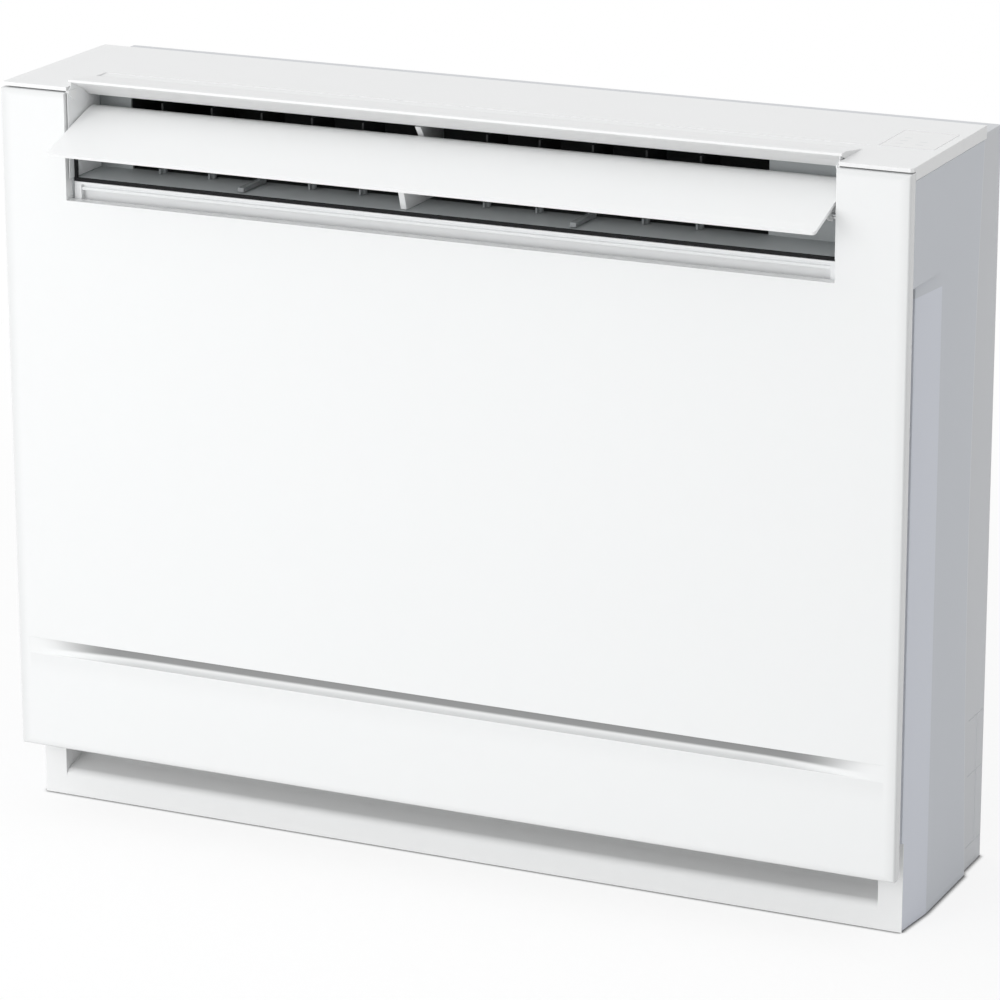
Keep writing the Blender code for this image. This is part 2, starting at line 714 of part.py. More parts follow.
def build_side_cover(name, side):
    inner = HALF - WALL
    open_side = FLANGE_INNER - WALL
    taper_end = CASING_FRONT + TAPER_LENGTH
    flange_back = CASING_FRONT + WALL
    beyond = SIDE_REAR + WALL
    head_low = INLET_HEAD - WALL
    chord = SIDE_TOP / 2
    bow_radius = (chord ** 2 + SIDE_BOW ** 2) / (2 * SIDE_BOW)
    reach = math.asin(chord / bow_radius)
    centre = (SIDE_REAR - SIDE_BOW + bow_radius, chord)
    outline = arc(centre, bow_radius, math.pi + reach, math.pi - reach, 8)
    outline += [(DUCT_FRONT, SIDE_TOP), (DUCT_FRONT, 0.0)]
    cover = prism(name, "X", outline, side * FLANGE_INNER, side * HALF)
    inlet = [
        (open_side, FRONT), (open_side, CASING_FRONT), (FLANGE_HALF, CASING_FRONT),
        (HALF + TAPER_INSET, taper_end + TAPER_LENGTH), (HALF + TAPER_INSET, FRONT),
    ]
    run = [(HALF, beyond), (HALF, taper_end), (FLANGE_HALF, CASING_FRONT), (open_side, CASING_FRONT)]
    inside = ribbon(run, WALL)[len(run):] + [(open_side, beyond)]
    upper = [
        (beyond, head_low - WALL), (beyond, BODY_TOP), (FRONT, BODY_TOP), (FRONT, INLET_HEAD),
        (taper_end + WALL, INLET_HEAD), (taper_end + WALL, head_low - WALL),
    ]
    cut(
        cover,
        prism(name + "_inlet", "Z", [(side * x, y) for x, y in inlet], -WALL, head_low),
        prism(name + "_inside", "Z", [(side * x, y) for x, y in inside], -WALL, head_low),
        prism(name + "_upper_inside", "X", upper, side * open_side, side * inner),
    )
    for z in (SCREW_LOW, SCREW_HIGH):
        place = (side * (FLANGE_HALF - FLANGE_WIDTH / 2), z)
        hole = rod(
            "flange_hole", "Y", place, SCREW_RADIUS + PIN_CLEARANCE,
            DUCT_FRONT, flange_back + WALL, 10,
        )
        cut(cover, hole)
    return dress(cover, "cool_white_casing")


def build_base():
    half = FLANGE_INNER - GAP
    top = CHANNEL_BOTTOM - WALL - GAP
    ramp_back = CASING_FRONT + CHANNEL_FRONT_SETBACK
    rise = top - SCOOP_LIP
    run = ramp_back - CASING_FRONT
    ramp = [(CASING_FRONT, 0.0), (CASING_FRONT, SCOOP_LIP)]
    for run_share, rise_share in SCOOP_CURVE:
        ramp.append((CASING_FRONT + run * run_share, SCOOP_LIP + rise * rise_share))
    ramp.append((ramp_back, top))
    base = prism("base", "X", ribbon(ramp, WALL), -half + LAP, half - LAP)
    plate = [
        (-half, CASING_FRONT + WALL / 2), (half, CASING_FRONT + WALL / 2), (half, FRAME_FRONT),
        (HALF - WALL - TAPER_INSET - GAP, FRAME_FRONT), (HALF - WALL - GAP, FRAME_FRONT + TAPER_LENGTH),
        (HALF - WALL - GAP, CHASSIS_FRONT - GAP),
        (-HALF + WALL + GAP, CHASSIS_FRONT - GAP), (-HALF + WALL + GAP, FRAME_FRONT + TAPER_LENGTH),
        (-HALF + WALL + TAPER_INSET + GAP, FRAME_FRONT), (-half, FRAME_FRONT),
    ]
    join(base, prism("base_plate", "Z", plate, 0.0, WALL))
    y, z = PANEL_PIVOT
    for side in (-1, 1):
        wall = [
            (CASING_FRONT + LAP, WALL / 2), (ramp_back + WALL / 2, WALL / 2),
            (ramp_back + WALL / 2, top - LAP), (CASING_FRONT + LAP, top - LAP),
        ]
        join(base, prism("base_end_wall", "X", wall, side * half, side * (half - WALL)))
        lug_out = half - WALL / 2
        lug = [(CASING_FRONT + WALL, z + PANEL_ARM_RADIUS), (CASING_FRONT + WALL, z - PANEL_ARM_RADIUS)]
        lug += arc((y, z), PANEL_ARM_RADIUS * 0.85, -math.pi / 2, -1.5 * math.pi, 6)
        join(base, prism("base_lug", "X", lug, side * lug_out, side * LUG_INNER))
        pin_end = LUG_INNER - PANEL_ARM_WIDTH
        pin_start = LUG_INNER + WALL / 2
        pin = rod("base_pin", "X", (y, z), PANEL_PIN_RADIUS, side * pin_start, side * pin_end, 12)
        join(base, pin)
    return dress(base, "white_casing")


def build_rear_chassis():
    chassis = block("rear_chassis", (-CHASSIS_HALF, CHASSIS_HALF), (CHASSIS_FRONT, BACK), (0.0, CHASSIS_TOP))
    inner = CHASSIS_HALF - SHEET
    pocket = block(
        "chassis_pocket", (-inner, inner), (CHASSIS_FRONT - WALL, BACK_INNER),
        (SHEET, CHASSIS_TOP - SHEET),
    )
    cut(chassis, pocket)
    depth = KNOCKOUT_GROOVE / 2
    for side in (-1, 1):
        x = (side * (CHASSIS_HALF - depth), side * (CHASSIS_HALF + WALL))
        for z in (KNOCKOUT_TOP, KNOCKOUT_MIDDLE, KNOCKOUT_LOW):
            groove = block("knockout_level", x, (KNOCKOUT_FRONT, BACK - WALL), (z, z + KNOCKOUT_GROOVE))
            cut(chassis, groove)
        upright = block(
            "knockout_upright", x, (KNOCKOUT_MIDLINE, KNOCKOUT_MIDLINE + KNOCKOUT_GROOVE),
            (KNOCKOUT_LOW + KNOCKOUT_GROOVE / 2, KNOCKOUT_TOP + KNOCKOUT_GROOVE / 2),
        )
        cut(chassis, upright)
        for z in (WALL_HOLE_HEIGHT, BODY_TOP - WALL_HOLE_HEIGHT):
            place = (side * (HALF - WALL_HOLE_INSET), z)
            cut(chassis, rod("wall_hole", "Y", place, WALL_HOLE_RADIUS, BACK_INNER - WALL, BACK + WALL, 12))
    return dress(chassis, "white_casing")


def build_outlet_frame():
    half = DUCT_HALF - GAP
    top = FLOOR - DUCT_WALL - GAP
    bottom = top - FRAME_DROP
    front = SEAL_FRONT
    face = front + FACE_SETBACK
    first_rib = (top - 0.20 * SHEET, top - 1.35 * SHEET, top - 1.80 * SHEET)
    second_rib = (top - 2.55 * SHEET, top - 2.95 * SHEET, top - 4.40 * SHEET, top - 4.95 * SHEET)
    section = [
        (FRAME_FRONT, top), (front + 0.20 * SHEET, top), (front, first_rib[0]), (front, first_rib[1]),
        (front + RIB_STEP, first_rib[2]), (front + RIB_STEP, second_rib[0]),
        (front + RIB_SETBACK, second_rib[1]), (front + RIB_SETBACK, second_rib[2]),
        (front + RIB_SHOULDER, second_rib[3]), (face, bottom + WALL), (face, bottom),
        (FRAME_FRONT, bottom), (FRAME_FRONT, bottom + WALL), (face + WALL, bottom + WALL),
        (face + SHEET, top - WALL), (FRAME_FRONT, top - WALL),
    ]
    frame = prism("outlet_frame", "X", section, -half, half)
    for side in (-1, 1):
        bar = block(
            "outlet_frame_bar", (side * half, side * (half - END_BAR_WIDTH)),
            (front, face + LAP), (bottom + WALL / 2, top - WALL / 3),
        )
        join(frame, bar)
    dress(frame, "white_casing")
    outer = half
    inner = half - SEAL_THICKNESS
    low = top + GAP
    high = low + SEAL_THICKNESS
    bar_top = high + SEAL_BAR_HEIGHT
    outline = [
        (-outer, low), (outer, low), (outer, bar_top), (inner, bar_top), (inner, high),
        (-inner, high), (-inner, bar_top), (-outer, bar_top),
    ]
    dress(prism("seal_strip", "Y", outline, SEAL_FRONT, SEAL_BACK), "black_foam")


def vane_places():
    """The X place of each vane, group by group."""
    near = DIVIDER_SHIFT - DIVIDER_THICKNESS / 2
    far = DIVIDER_SHIFT + DIVIDER_THICKNESS / 2
    spans = {
        "left": (THROAT_LEFT + LEFT_VANE_MARGINS[0], near - LEFT_VANE_MARGINS[1]),
        "right": (far + RIGHT_VANE_MARGINS[0], THROAT_RIGHT - RIGHT_VANE_MARGINS[1]),
    }
    places = {}
    for group, (first, last) in spans.items():
        pitch = (last - first) / (VANES_IN_GROUP - 1)
        places[group] = [first + pitch * i for i in range(VANES_IN_GROUP)]
    return places


def build_outlet_duct():
    floor_front = SEAL_BACK + GAP
    throat = BELL_REAR
    floor_run = [(floor_front + LAP, FLOOR)]
    floor_run += arc((throat - THROAT_RADIUS, FLOOR - THROAT_RADIUS), THROAT_RADIUS, math.pi / 2, 0, 4)
    floor_run.append((throat, DUCT_BOTTOM + LAP))
    throat_span = (THROAT_LEFT - DUCT_WALL / 2, THROAT_RIGHT + DUCT_WALL / 2)
    duct = prism("outlet_duct", "X", ribbon(floor_run, DUCT_WALL), *throat_span)
    mouth_floor = block(
        "duct_mouth_floor", (-DUCT_HALF - DUCT_WALL / 2, DUCT_HALF + DUCT_WALL / 2),
        (floor_front, MOUTH_BACK + DUCT_WALL / 2), (FLOOR - DUCT_WALL, FLOOR),
    )
    centre = (DUCT_BACK - ELBOW_RADIUS, CEILING - ELBOW_RADIUS)
    roof_run = [(DUCT_BACK, DUCT_BOTTOM + LAP)]
    roof_run += arc(centre, ELBOW_RADIUS, 0, math.pi / 2, 5)
    visor_clear = VISOR_FOOT + WALL + 4 * GAP
    roof_run.append((visor_clear + LAP, CEILING))
    roof = prism("duct_roof", "X", ribbon(roof_run, DUCT_WALL), *throat_span)
    mouth_roof = block(
        "duct_mouth_roof", (-DUCT_HALF - DUCT_WALL / 2, DUCT_HALF + DUCT_WALL / 2),
        (visor_clear, MOUTH_BACK + DUCT_WALL / 2), (CEILING, CEILING + DUCT_WALL),
    )
    join(duct, mouth_floor, roof, mouth_roof)
    for side, throat_x in ((-1, THROAT_LEFT), (1, THROAT_RIGHT)):
        run = [
            (side * DUCT_HALF, DUCT_FRONT), (side * DUCT_HALF, MOUTH_BACK),
            (throat_x, MOUTH_BACK), (throat_x, DUCT_BACK + DUCT_WALL / 2),
        ]
        outline = ribbon(run, side * DUCT_WALL)
        top = CEILING + DUCT_WALL - LAP
        wall = prism("duct_side", "Z", outline, DUCT_BOTTOM, top)
        corner = block(
            "duct_corner_clearance", (side * (DUCT_HALF - WALL), side * (DUCT_HALF + 2 * WALL)),
            (DUCT_FRONT - WALL, visor_clear - GAP), (CEILING, top + WALL),
        )
        elbow = [(DUCT_BACK + 2 * WALL, top + WALL), (centre[0], top + WALL)]
        elbow += arc(centre, ELBOW_RADIUS + DUCT_WALL - LAP, math.pi / 2, 0, 5)
        elbow += [(DUCT_BACK + 2 * WALL, centre[1])]
        trim = prism("duct_elbow_trim", "X", elbow, throat_x - side * WALL, throat_x + side * 3 * WALL)
        cut(wall, corner, trim)
        join(duct, wall)
        bore = rod(
            "flap_bore", "X", FLAP_PIVOT, FLAP_PIN_RADIUS + PIN_CLEARANCE,
            side * (DUCT_HALF - WALL), side * (DUCT_HALF + 2 * WALL), 12,
        )
        cut(duct, bore)
    for group in vane_places().values():
        for x in group:
            hole = rod(
                "vane_hole", "Z", (x, VANE_PIN_Y), VANE_PIN_RADIUS + PIN_CLEARANCE,
                FLOOR - 2 * DUCT_WALL, FLOOR + DUCT_WALL, 10,
            )
            cut(duct, hole)
    return dress(duct, "duct_grey")


def build_duct_divider():
    y, z = FLAP_PIVOT
    boss = FLAP_BOSS_RADIUS + GAP
    clear = FLAP_DRUM_RADIUS + WALL
    low = FLOOR + GAP
    high = CEILING - GAP
    tail = y + clear + DIVIDER_TAIL
    outline = [(y + DIVIDER_FOOT, low)]
    outline += arc((y, z), boss, math.pi * 1.08, 0, 7)
    outline += [(y + DIVIDER_NECK[0], z - DIVIDER_NECK[1]), (y + DIVIDER_HEEL[0], low + DIVIDER_HEEL[1])]
    outline += arc((y, z), clear, math.radians(-36), math.radians(43), 6)
    outline += [(y + clear * 0.85, high), (tail, high), (tail, z - DIVIDER_TAIL_DROP)]
    outline += [(y + clear + DIVIDER_TAIL_DROP, low)]
    left = DIVIDER_SHIFT - DIVIDER_THICKNESS / 2
    right = DIVIDER_SHIFT + DIVIDER_THICKNESS / 2
    divider = prism("duct_divider", "X", outline, left, right)
    bore = rod(
        "divider_bore", "X", FLAP_PIVOT, FLAP_PIN_RADIUS + PIN_CLEARANCE, left - WALL, right + WALL, 12
    )
    cut(divider, bore)
    return dress(divider, "duct_grey")


def closed_flap_run():
    """The flap's outer surface in the closed pose: up the front, over the corner and back as a drum."""
    z = FLAP_PIVOT[1]
    drum = arc(FLAP_PIVOT, FLAP_DRUM_RADIUS, FLAP_CORNER_ANGLE, FLAP_DRUM_END, 5)
    run = [(FRONT, SILL + FLAP_END_GAP)]
    for back, rise in FLAP_ROUND:
        run.append((FRONT + back, z + rise))
    return run + drum


def flap_corner_cutter(side, half):
    """Rounds one outer corner of the flap."""
    low = SILL + FLAP_END_GAP
    centre = (half - FLAP_CORNER, low + FLAP_CORNER)
    outline = [(half + WALL, centre[1]), (half + WALL, low - WALL), (centre[0], low - WALL)]
    outline += arc(centre, FLAP_CORNER, -math.pi / 2, 0, 8)
    mirrored = [(side * x, z) for x, z in outline]
    cutter = prism("flap_corner", "Y", mirrored, FRONT - WALL, FRONT + 2 * WALL)
    for vertex in cutter.data.vertices:
        place = turn([(vertex.co.y, vertex.co.z)], FLAP_PIVOT, -FLAP_OPEN_ANGLE)[0]
        vertex.co.y, vertex.co.z = place
    return cutter


def build_air_flap():
    half = MOUTH_HALF - DUCT_MOUTH_INSET - FLAP_END_GAP
    y, z = FLAP_PIVOT
    shell = turn(ribbon(closed_flap_run(), FLAP_THICKNESS), FLAP_PIVOT, -FLAP_OPEN_ANGLE)
    flap = prism("air_flap", "X", shell, -half, half)
    inside = FRONT + FLAP_THICKNESS - 2 * GAP
    arm = [(inside, z - FLAP_ARM_DROP), (inside, z + FLAP_ARM_RISE)]
    arm += arc(FLAP_PIVOT, FLAP_BOSS_RADIUS, math.radians(70), math.radians(-70), 6)
    arm = turn(arm, FLAP_PIVOT, -FLAP_OPEN_ANGLE)
    end = half - FLAP_ARM_INSET
    middle_arm = DIVIDER_SHIFT + DIVIDER_THICKNESS / 2 + WALL / 2
    join(flap, prism("flap_middle_arm", "X", arm, middle_arm, middle_arm + FLAP_ARM_THICKNESS))
    pin_start = middle_arm + FLAP_ARM_THICKNESS / 2
    pin_end = DIVIDER_SHIFT - DIVIDER_THICKNESS / 2
    join(flap, rod("flap_middle_pin", "X", FLAP_PIVOT, FLAP_PIN_RADIUS, pin_start, pin_end, 12))
    bore_radius = FLAP_PIN_RADIUS + PIN_CLEARANCE
    for side in (-1, 1):
        outer, inner = side * end, side * (end - FLAP_ARM_THICKNESS)
        join(flap, prism("flap_arm", "X", arm, outer, inner))
        bore = rod("flap_arm_bore", "X", FLAP_PIVOT, bore_radius, outer + side * WALL, inner - side * WALL, 12)
        cut(flap, flap_corner_cutter(side, half), bore)
    dress(flap, "white_gloss")
    hang_on(flap, (0, y, z))
    head = end - FLAP_ARM_THICKNESS - GAP
    build_flap_pin("flap_left_pin", -head, -DUCT_HALF - DUCT_WALL + GAP, -1)
    build_flap_pin("flap_drive_shaft", head, FLAP_MOTOR_START + FLAP_MOTOR_LENGTH / 3, 1)
    build_flap_motor()


def build_flap_pin(name, head, end, side):
    """A headed steel pin, from inside the flap's arm out through the duct wall."""
    pin = rod(name, "X", FLAP_PIVOT, FLAP_PIN_RADIUS, head - side * PIN_HEAD_LENGTH / 2, end, 12)
    join(pin, rod("flap_pin_head", "X", FLAP_PIVOT, PIN_HEAD_RADIUS, head - side * PIN_HEAD_LENGTH, head, 12))
    dress(pin, "zinc_steel", smooth=True)
    hang_on(pin, (head, *FLAP_PIVOT))


def build_flap_motor():
    y, z = FLAP_PIVOT
    end = FLAP_MOTOR_START + FLAP_MOTOR_LENGTH
    motor = rod("flap_motor", "X", FLAP_PIVOT, FLAP_MOTOR_RADIUS, FLAP_MOTOR_START, end, 16)
    foot = block(
        "flap_motor_foot", (DUCT_HALF + DUCT_WALL + GAP, FLAP_MOTOR_START + WALL),
        (PANEL_REAR + GAP, y + FLAP_MOTOR_RADIUS - LAP), (z - FLAP_MOTOR_RADIUS / 2, z + FLAP_MOTOR_RADIUS / 2),
    )
    join(motor, foot)
    bore_radius = FLAP_PIN_RADIUS + PIN_CLEARANCE
    cut(motor, rod("flap_motor_bore", "X", FLAP_PIVOT, bore_radius, DUCT_HALF, end - FLAP_MOTOR_LENGTH / 2, 12))
    dress(motor, "natural_plastic")


def build_vanes():
    low = FLOOR + 2 * GAP
    high = CEILING - VANE_TOP_GAP
    shoulder = low + VANE_SHOULDER
    blade_front = FLAP_PIVOT[0] + FLAP_DRUM_RADIUS + VANE_DRUM_GAP
    peg_y = VANE_PIN_Y + LINK_ARM
    bar_low = FLOOR + GAP
    bar_high = bar_low + LINK_THICKNESS
    under = bar_high + VANE_CHIN
    outline = [
        (VANE_PIN_Y - VANE_TOE, low), (VANE_PIN_Y - VANE_TOE, shoulder), (blade_front, shoulder),
        (blade_front, high), (VANE_PIN_Y + VANE_REACH, high), (VANE_PIN_Y + VANE_REACH, under + WALL),
        (peg_y + LINK_WIDTH * 0.7, under), (VANE_PIN_Y + VANE_FOOT_RADIUS, under),
        (VANE_PIN_Y + VANE_FOOT_RADIUS, low),
    ]
    for group, places in vane_places().items():
        for index, x in enumerate(places, start=1):
            vane = prism(f"{group}_vane_{index}", "X", outline, x - VANE_THICKNESS / 2, x + VANE_THICKNESS / 2)
            foot = rod("vane_foot", "Z", (x, VANE_PIN_Y), VANE_FOOT_RADIUS, low, shoulder - WALL / 3, 10)
            pin = rod("vane_pin", "Z", (x, VANE_PIN_Y), VANE_PIN_RADIUS, FLOOR - DUCT_WALL, low + WALL / 3, 10)
            peg = rod("vane_peg", "Z", (x, peg_y), LINK_PEG_RADIUS, bar_low + GAP, under + WALL / 3, 8)
            join(vane, foot, pin, peg)
            if index == (VANES_IN_GROUP + 1) // 2:
                lever = block(
                    "vane_lever", (x - LEVER_WIDTH / 2, x + LEVER_WIDTH / 2),
                    (VANE_PIN_Y - LEVER_REACH, VANE_PIN_Y - VANE_TOE / 2),
                    (low + GAP, low + GAP + LEVER_THICKNESS),
                )
                join(vane, lever)
            dress(vane, "duct_grey")
            hang_on(vane, (x, VANE_PIN_Y, low))
        tail = LINK_TAIL if group == "right" else LINK_END
        bar = block(
            f"{group}_link_bar", (places[0] - LINK_END, places[-1] + tail),
            (peg_y - LINK_WIDTH / 2, peg_y + LINK_WIDTH / 2), (bar_low, bar_high),
        )
        for x in places:
            hole = rod(
                "link_hole", "Z", (x, peg_y), LINK_PEG_RADIUS + PIN_CLEARANCE,
                bar_low - WALL, bar_high + WALL, 8,
            )
            cut(bar, hole)
        dress(bar, "black_plastic")
        hang_on(bar, (places[VANES_IN_GROUP // 2], peg_y, bar_low))


def build_fan_casing():
    front = CASING_FRONT + CHANNEL_FRONT_SETBACK
    top = DUCT_BOTTOM - GAP
    centre = (DUCT_BACK - CHANNEL_RADIUS, CHANNEL_BOTTOM + CHANNEL_RADIUS)
    run = [(front, CHANNEL_BOTTOM)]
    run += arc(centre, CHANNEL_RADIUS, -math.pi / 2, 0, 6)
    run.append((DUCT_BACK, top))
    casing = prism("fan_casing", "X", ribbon(run, WALL), THROAT_LEFT - WALL / 2, THROAT_RIGHT + WALL / 2)
    wall_outline = [(front + LAP, CHANNEL_BOTTOM - WALL + LAP)]
    wall_outline += arc(centre, CHANNEL_RADIUS + WALL - LAP, -math.pi / 2, 0, 6)
    wall_outline += [
        (DUCT_BACK + WALL - LAP, top - LAP), (BELL_FRONT, top - LAP), (BELL_FRONT, PAN_BOTTOM - GAP),
        (front + LAP, PAN_BOTTOM - GAP),
    ]
    for side, x in ((-1, THROAT_LEFT), (1, THROAT_RIGHT)):
        join(casing, prism("fan_casing_side", "X", wall_outline, x, x + side * WALL))
        bore = rod(
            "damper_bore", "X", DAMPER_PIVOT, DAMPER_PIN_RADIUS + PIN_CLEARANCE,
            x - side * WALL, x + side * 2 * WALL, 12,
        )
        cut(casing, bore)
    return dress(casing, "natural_plastic")


def build_bell_mouth():
    centre = FAN_CENTRE
    plate = block(
        "bell_mouth_plate", (THROAT_LEFT + GAP, THROAT_RIGHT - GAP), (BELL_FRONT, BELL_REAR),
        (PAN_BOTTOM, DUCT_BOTTOM - GAP),
    )
    cut(plate, rod("bell_hole", "Y", centre, BELL_RADIUS + WALL / 2, BELL_FRONT - WALL, BELL_REAR + WALL, 40))
    collar = [
        (BELL_RADIUS + 2 * WALL, BELL_FRONT + GAP), (BELL_RADIUS + WALL / 2, BELL_FRONT + WALL),
        (BELL_RADIUS, BELL_FRONT + 2 * WALL), (BELL_RADIUS, BELL_FRONT + COLLAR_LENGTH),
        (BELL_RADIUS + WALL / 2, BELL_FRONT + COLLAR_LENGTH), (BELL_RADIUS + 2 * WALL, BELL_REAR - GAP),
    ]
    join(plate, turned("bell_collar", centre, collar, 40))
    return dress(plate, "natural_plastic", smooth=True)


def build_fan():
    centre = FAN_CENTRE
    inlet = BELL_RADIUS + WALL / 2 + FAN_RUNNING_GAP
    shroud_front = BELL_FRONT + COLLAR_LENGTH - WALL
    shroud_back = shroud_front + SHROUD_REACH
    disc_front = FAN_DISC_FRONT
    shroud = [
        (inlet, shroud_front), (inlet + BLADE_THICKNESS, shroud_front),
        (inlet + 2 * BLADE_THICKNESS, shroud_front + SHROUD_RISE), (FAN_RADIUS, shroud_back),
        (FAN_RADIUS, shroud_back + BLADE_THICKNESS), (inlet + BLADE_THICKNESS, shroud_front + 2 * SHROUD_RISE),
        (inlet, shroud_front + 1.5 * SHROUD_RISE),
    ]
    bore = SHAFT_RADIUS + PIN_CLEARANCE
    boss = 3.5 * SHAFT_RADIUS
    disc = [
        (bore, disc_front - HUB_LENGTH), (boss, disc_front - HUB_LENGTH), (1.3 * boss, disc_front - 2.7 * WALL),
        (4.5 * boss, disc_front), (FAN_RADIUS, disc_front), (FAN_RADIUS, disc_front + BLADE_THICKNESS),
        (4.3 * boss, disc_front + BLADE_THICKNESS), (bore, disc_front + BLADE_THICKNESS - WALL / 3),
    ]
    fan = turned("turbo_fan", centre, disc, 36)
    blades = bmesh.new()
    tip = shroud_back + BLADE_THICKNESS * 0.4
    root = shroud_front + 1.75 * SHROUD_RISE
    chord = FAN_RADIUS - WALL / 3 - BLADE_INNER_RADIUS
    for i in range(FAN_BLADES):
        start = math.tau * i / FAN_BLADES
        sides = []
        for half in (-BLADE_THICKNESS / 2, BLADE_THICKNESS / 2):
            run = []
            for k in range(BLADE_STEPS + 1):
                share = k / BLADE_STEPS
                radius = BLADE_INNER_RADIUS + chord * share
                angle = start + BLADE_SWEEP * share ** 1.3 + half / radius
                x = centre[0] + radius * math.cos(angle)
                z = centre[1] + radius * math.sin(angle)
                run.append((x, tip if k == BLADE_STEPS else root, z))
            sides.append(run)
        outline = sides[0] + sides[1][::-1]
        low = [blades.verts.new(point) for point in outline]
        high = [blades.verts.new((x, disc_front + WALL / 3, z)) for x, _, z in outline]
        blades.faces.new(low)
        blades.faces.new(high)
        for a in range(len(outline)):
            b = (a + 1) % len(outline)
            blades.faces.new((low[a], low[b], high[b], high[a]))
    blade_set = add_object("fan_blades", blades)
    join(fan, blade_set, turned("fan_shroud", centre, shroud, 36))
    dress(fan, "fan_plastic", smooth=True)
    hang_on(fan, (centre[0], disc_front, centre[1]))
    shaft_front = disc_front - HUB_LENGTH + WALL / 3
    shaft = rod("motor_shaft", "Y", centre, SHAFT_RADIUS, shaft_front, MOTOR_BACK - WALL, 14)
    dress(shaft, "zinc_steel", smooth=True)
    hang_on(shaft, (centre[0], disc_front, centre[1]))
    profile = [
        (bore, MOTOR_FRONT), (0.8 * MOTOR_RADIUS, MOTOR_FRONT), (MOTOR_RADIUS, MOTOR_FRONT + WALL),
        (MOTOR_RADIUS, MOTOR_BACK), (bore, MOTOR_BACK),
    ]
    dress(turned("fan_motor", centre, profile, 28), "zinc_steel", smooth=True)
    bracket_back = DUCT_BACK - GAP
    bracket = block(
        "motor_bracket", (centre[0] - BRACKET_HALF, centre[0] + BRACKET_HALF),
        (MOTOR_BACK + GAP, bracket_back), (centre[1] - BRACKET_HALF, centre[1] + BRACKET_HALF),
    )
    ring_front = MOTOR_BACK - MOTOR_LENGTH / 2
    ring = [
        (MOTOR_RADIUS + GAP, ring_front), (MOTOR_RADIUS + WALL, ring_front),
        (MOTOR_RADIUS + WALL, MOTOR_BACK + 2 * GAP), (MOTOR_RADIUS + GAP, MOTOR_BACK + 2 * GAP),
    ]
    join(bracket, turned("bracket_ring", centre, ring, 28))
    dress(bracket, "zinc_steel")


def build_heat_exchanger():
    outline = [(COIL_LEFT, COIL_BACK), (COIL_LEFT, COIL_FRONT)]
    count = int((COIL_RIGHT - COIL_LEFT) / FIN_PITCH) - 1
    start = (COIL_LEFT + COIL_RIGHT) / 2 - (count - 1) * FIN_PITCH / 2
    for i in range(count):
        x = start + i * FIN_PITCH
        outline += [
            (x - FIN_GROOVE / 2, COIL_FRONT), (x - FIN_GROOVE / 2, COIL_FRONT + FIN_GROOVE_DEPTH),
            (x + FIN_GROOVE / 2, COIL_FRONT + FIN_GROOVE_DEPTH), (x + FIN_GROOVE / 2, COIL_FRONT),
        ]
    outline += [(COIL_RIGHT, COIL_FRONT), (COIL_RIGHT, COIL_BACK)]
    dress(prism("fin_block", "Z", outline, COIL_BOTTOM, COIL_TOP), "aluminium_fin")
    for name, x, side in (("left_end_plate", COIL_LEFT, -1), ("right_end_plate", COIL_RIGHT, 1)):
        near = x + side * GAP
        plate = block(
            name, (near, near + side * SHEET), (COIL_FRONT - END_PLATE_MARGIN, COIL_BACK + END_PLATE_MARGIN),
            (COIL_BOTTOM, COIL_TOP + END_PLATE_MARGIN),
        )
        dress(plate, "zinc_steel")


def build_pipe(name, x, y, radius, levels, run_height):
    """A header beside the heat exchanger, with stubs into it, and the pipe that leads back to the wall side."""
    bend = 4 * radius
    path = [(x, y, levels[-1] + 3 * radius), (x, y, run_height + bend)]
    for i in range(1, 5):
        angle = math.pi / 2 * i / 4
        path.append((x, y + bend * (1 - math.cos(angle)), run_height + bend * (1 - math.sin(angle))))
    path.append((x, PIPE_END, run_height))
    pipe = tube(name, path, radius)
    plate_face = COIL_LEFT - GAP - SHEET - GAP
    for z in levels:
        join(pipe, rod(name + "_stub", "X", (y, z), 0.6 * radius, x, plate_face, 10))
    dress(pipe, "copper", smooth=True)


def build_flare_nut(name, x, z, pipe_radius, nut_radius):
    centre = (x, z)
    nut = rod(name, "Y", centre, nut_radius, PIPE_END - NUT_LENGTH, PIPE_END + NUT_LENGTH / 4, 6)
    bore = rod(
        name + "_bore", "Y", centre, pipe_radius + PIN_CLEARANCE,
        PIPE_END - NUT_LENGTH - WALL, PIPE_END + GAP, 12,
    )
    cut(nut, bore)
    dress(nut, "brass")


def build_pipes():
    middle = (COIL_FRONT + COIL_BACK) / 2
    gas_x = COIL_LEFT - GAS_HEADER_OUT
    liquid_x = COIL_LEFT - LIQUID_HEADER_OUT
    gas_levels = [COIL_BOTTOM + COIL_HEIGHT * share for share in (0.35, 0.55, 0.75, 0.92)]
    liquid_levels = [COIL_BOTTOM + COIL_HEIGHT * share for share in (0.1, 0.2)]
    gas_y = COIL_BACK - GAS_PIPE_RADIUS / 2
    build_pipe("gas_pipe", gas_x, gas_y, GAS_PIPE_RADIUS, gas_levels, GAS_RUN_HEIGHT)
    build_pipe("liquid_pipe", liquid_x, middle, LIQUID_PIPE_RADIUS, liquid_levels, LIQUID_RUN_HEIGHT)
    build_flare_nut("gas_flare_nut", gas_x, GAS_RUN_HEIGHT, GAS_PIPE_RADIUS, GAS_NUT_RADIUS)
    build_flare_nut(
        "liquid_flare_nut", liquid_x, LIQUID_RUN_HEIGHT, LIQUID_PIPE_RADIUS, LIQUID_NUT_RADIUS
    )


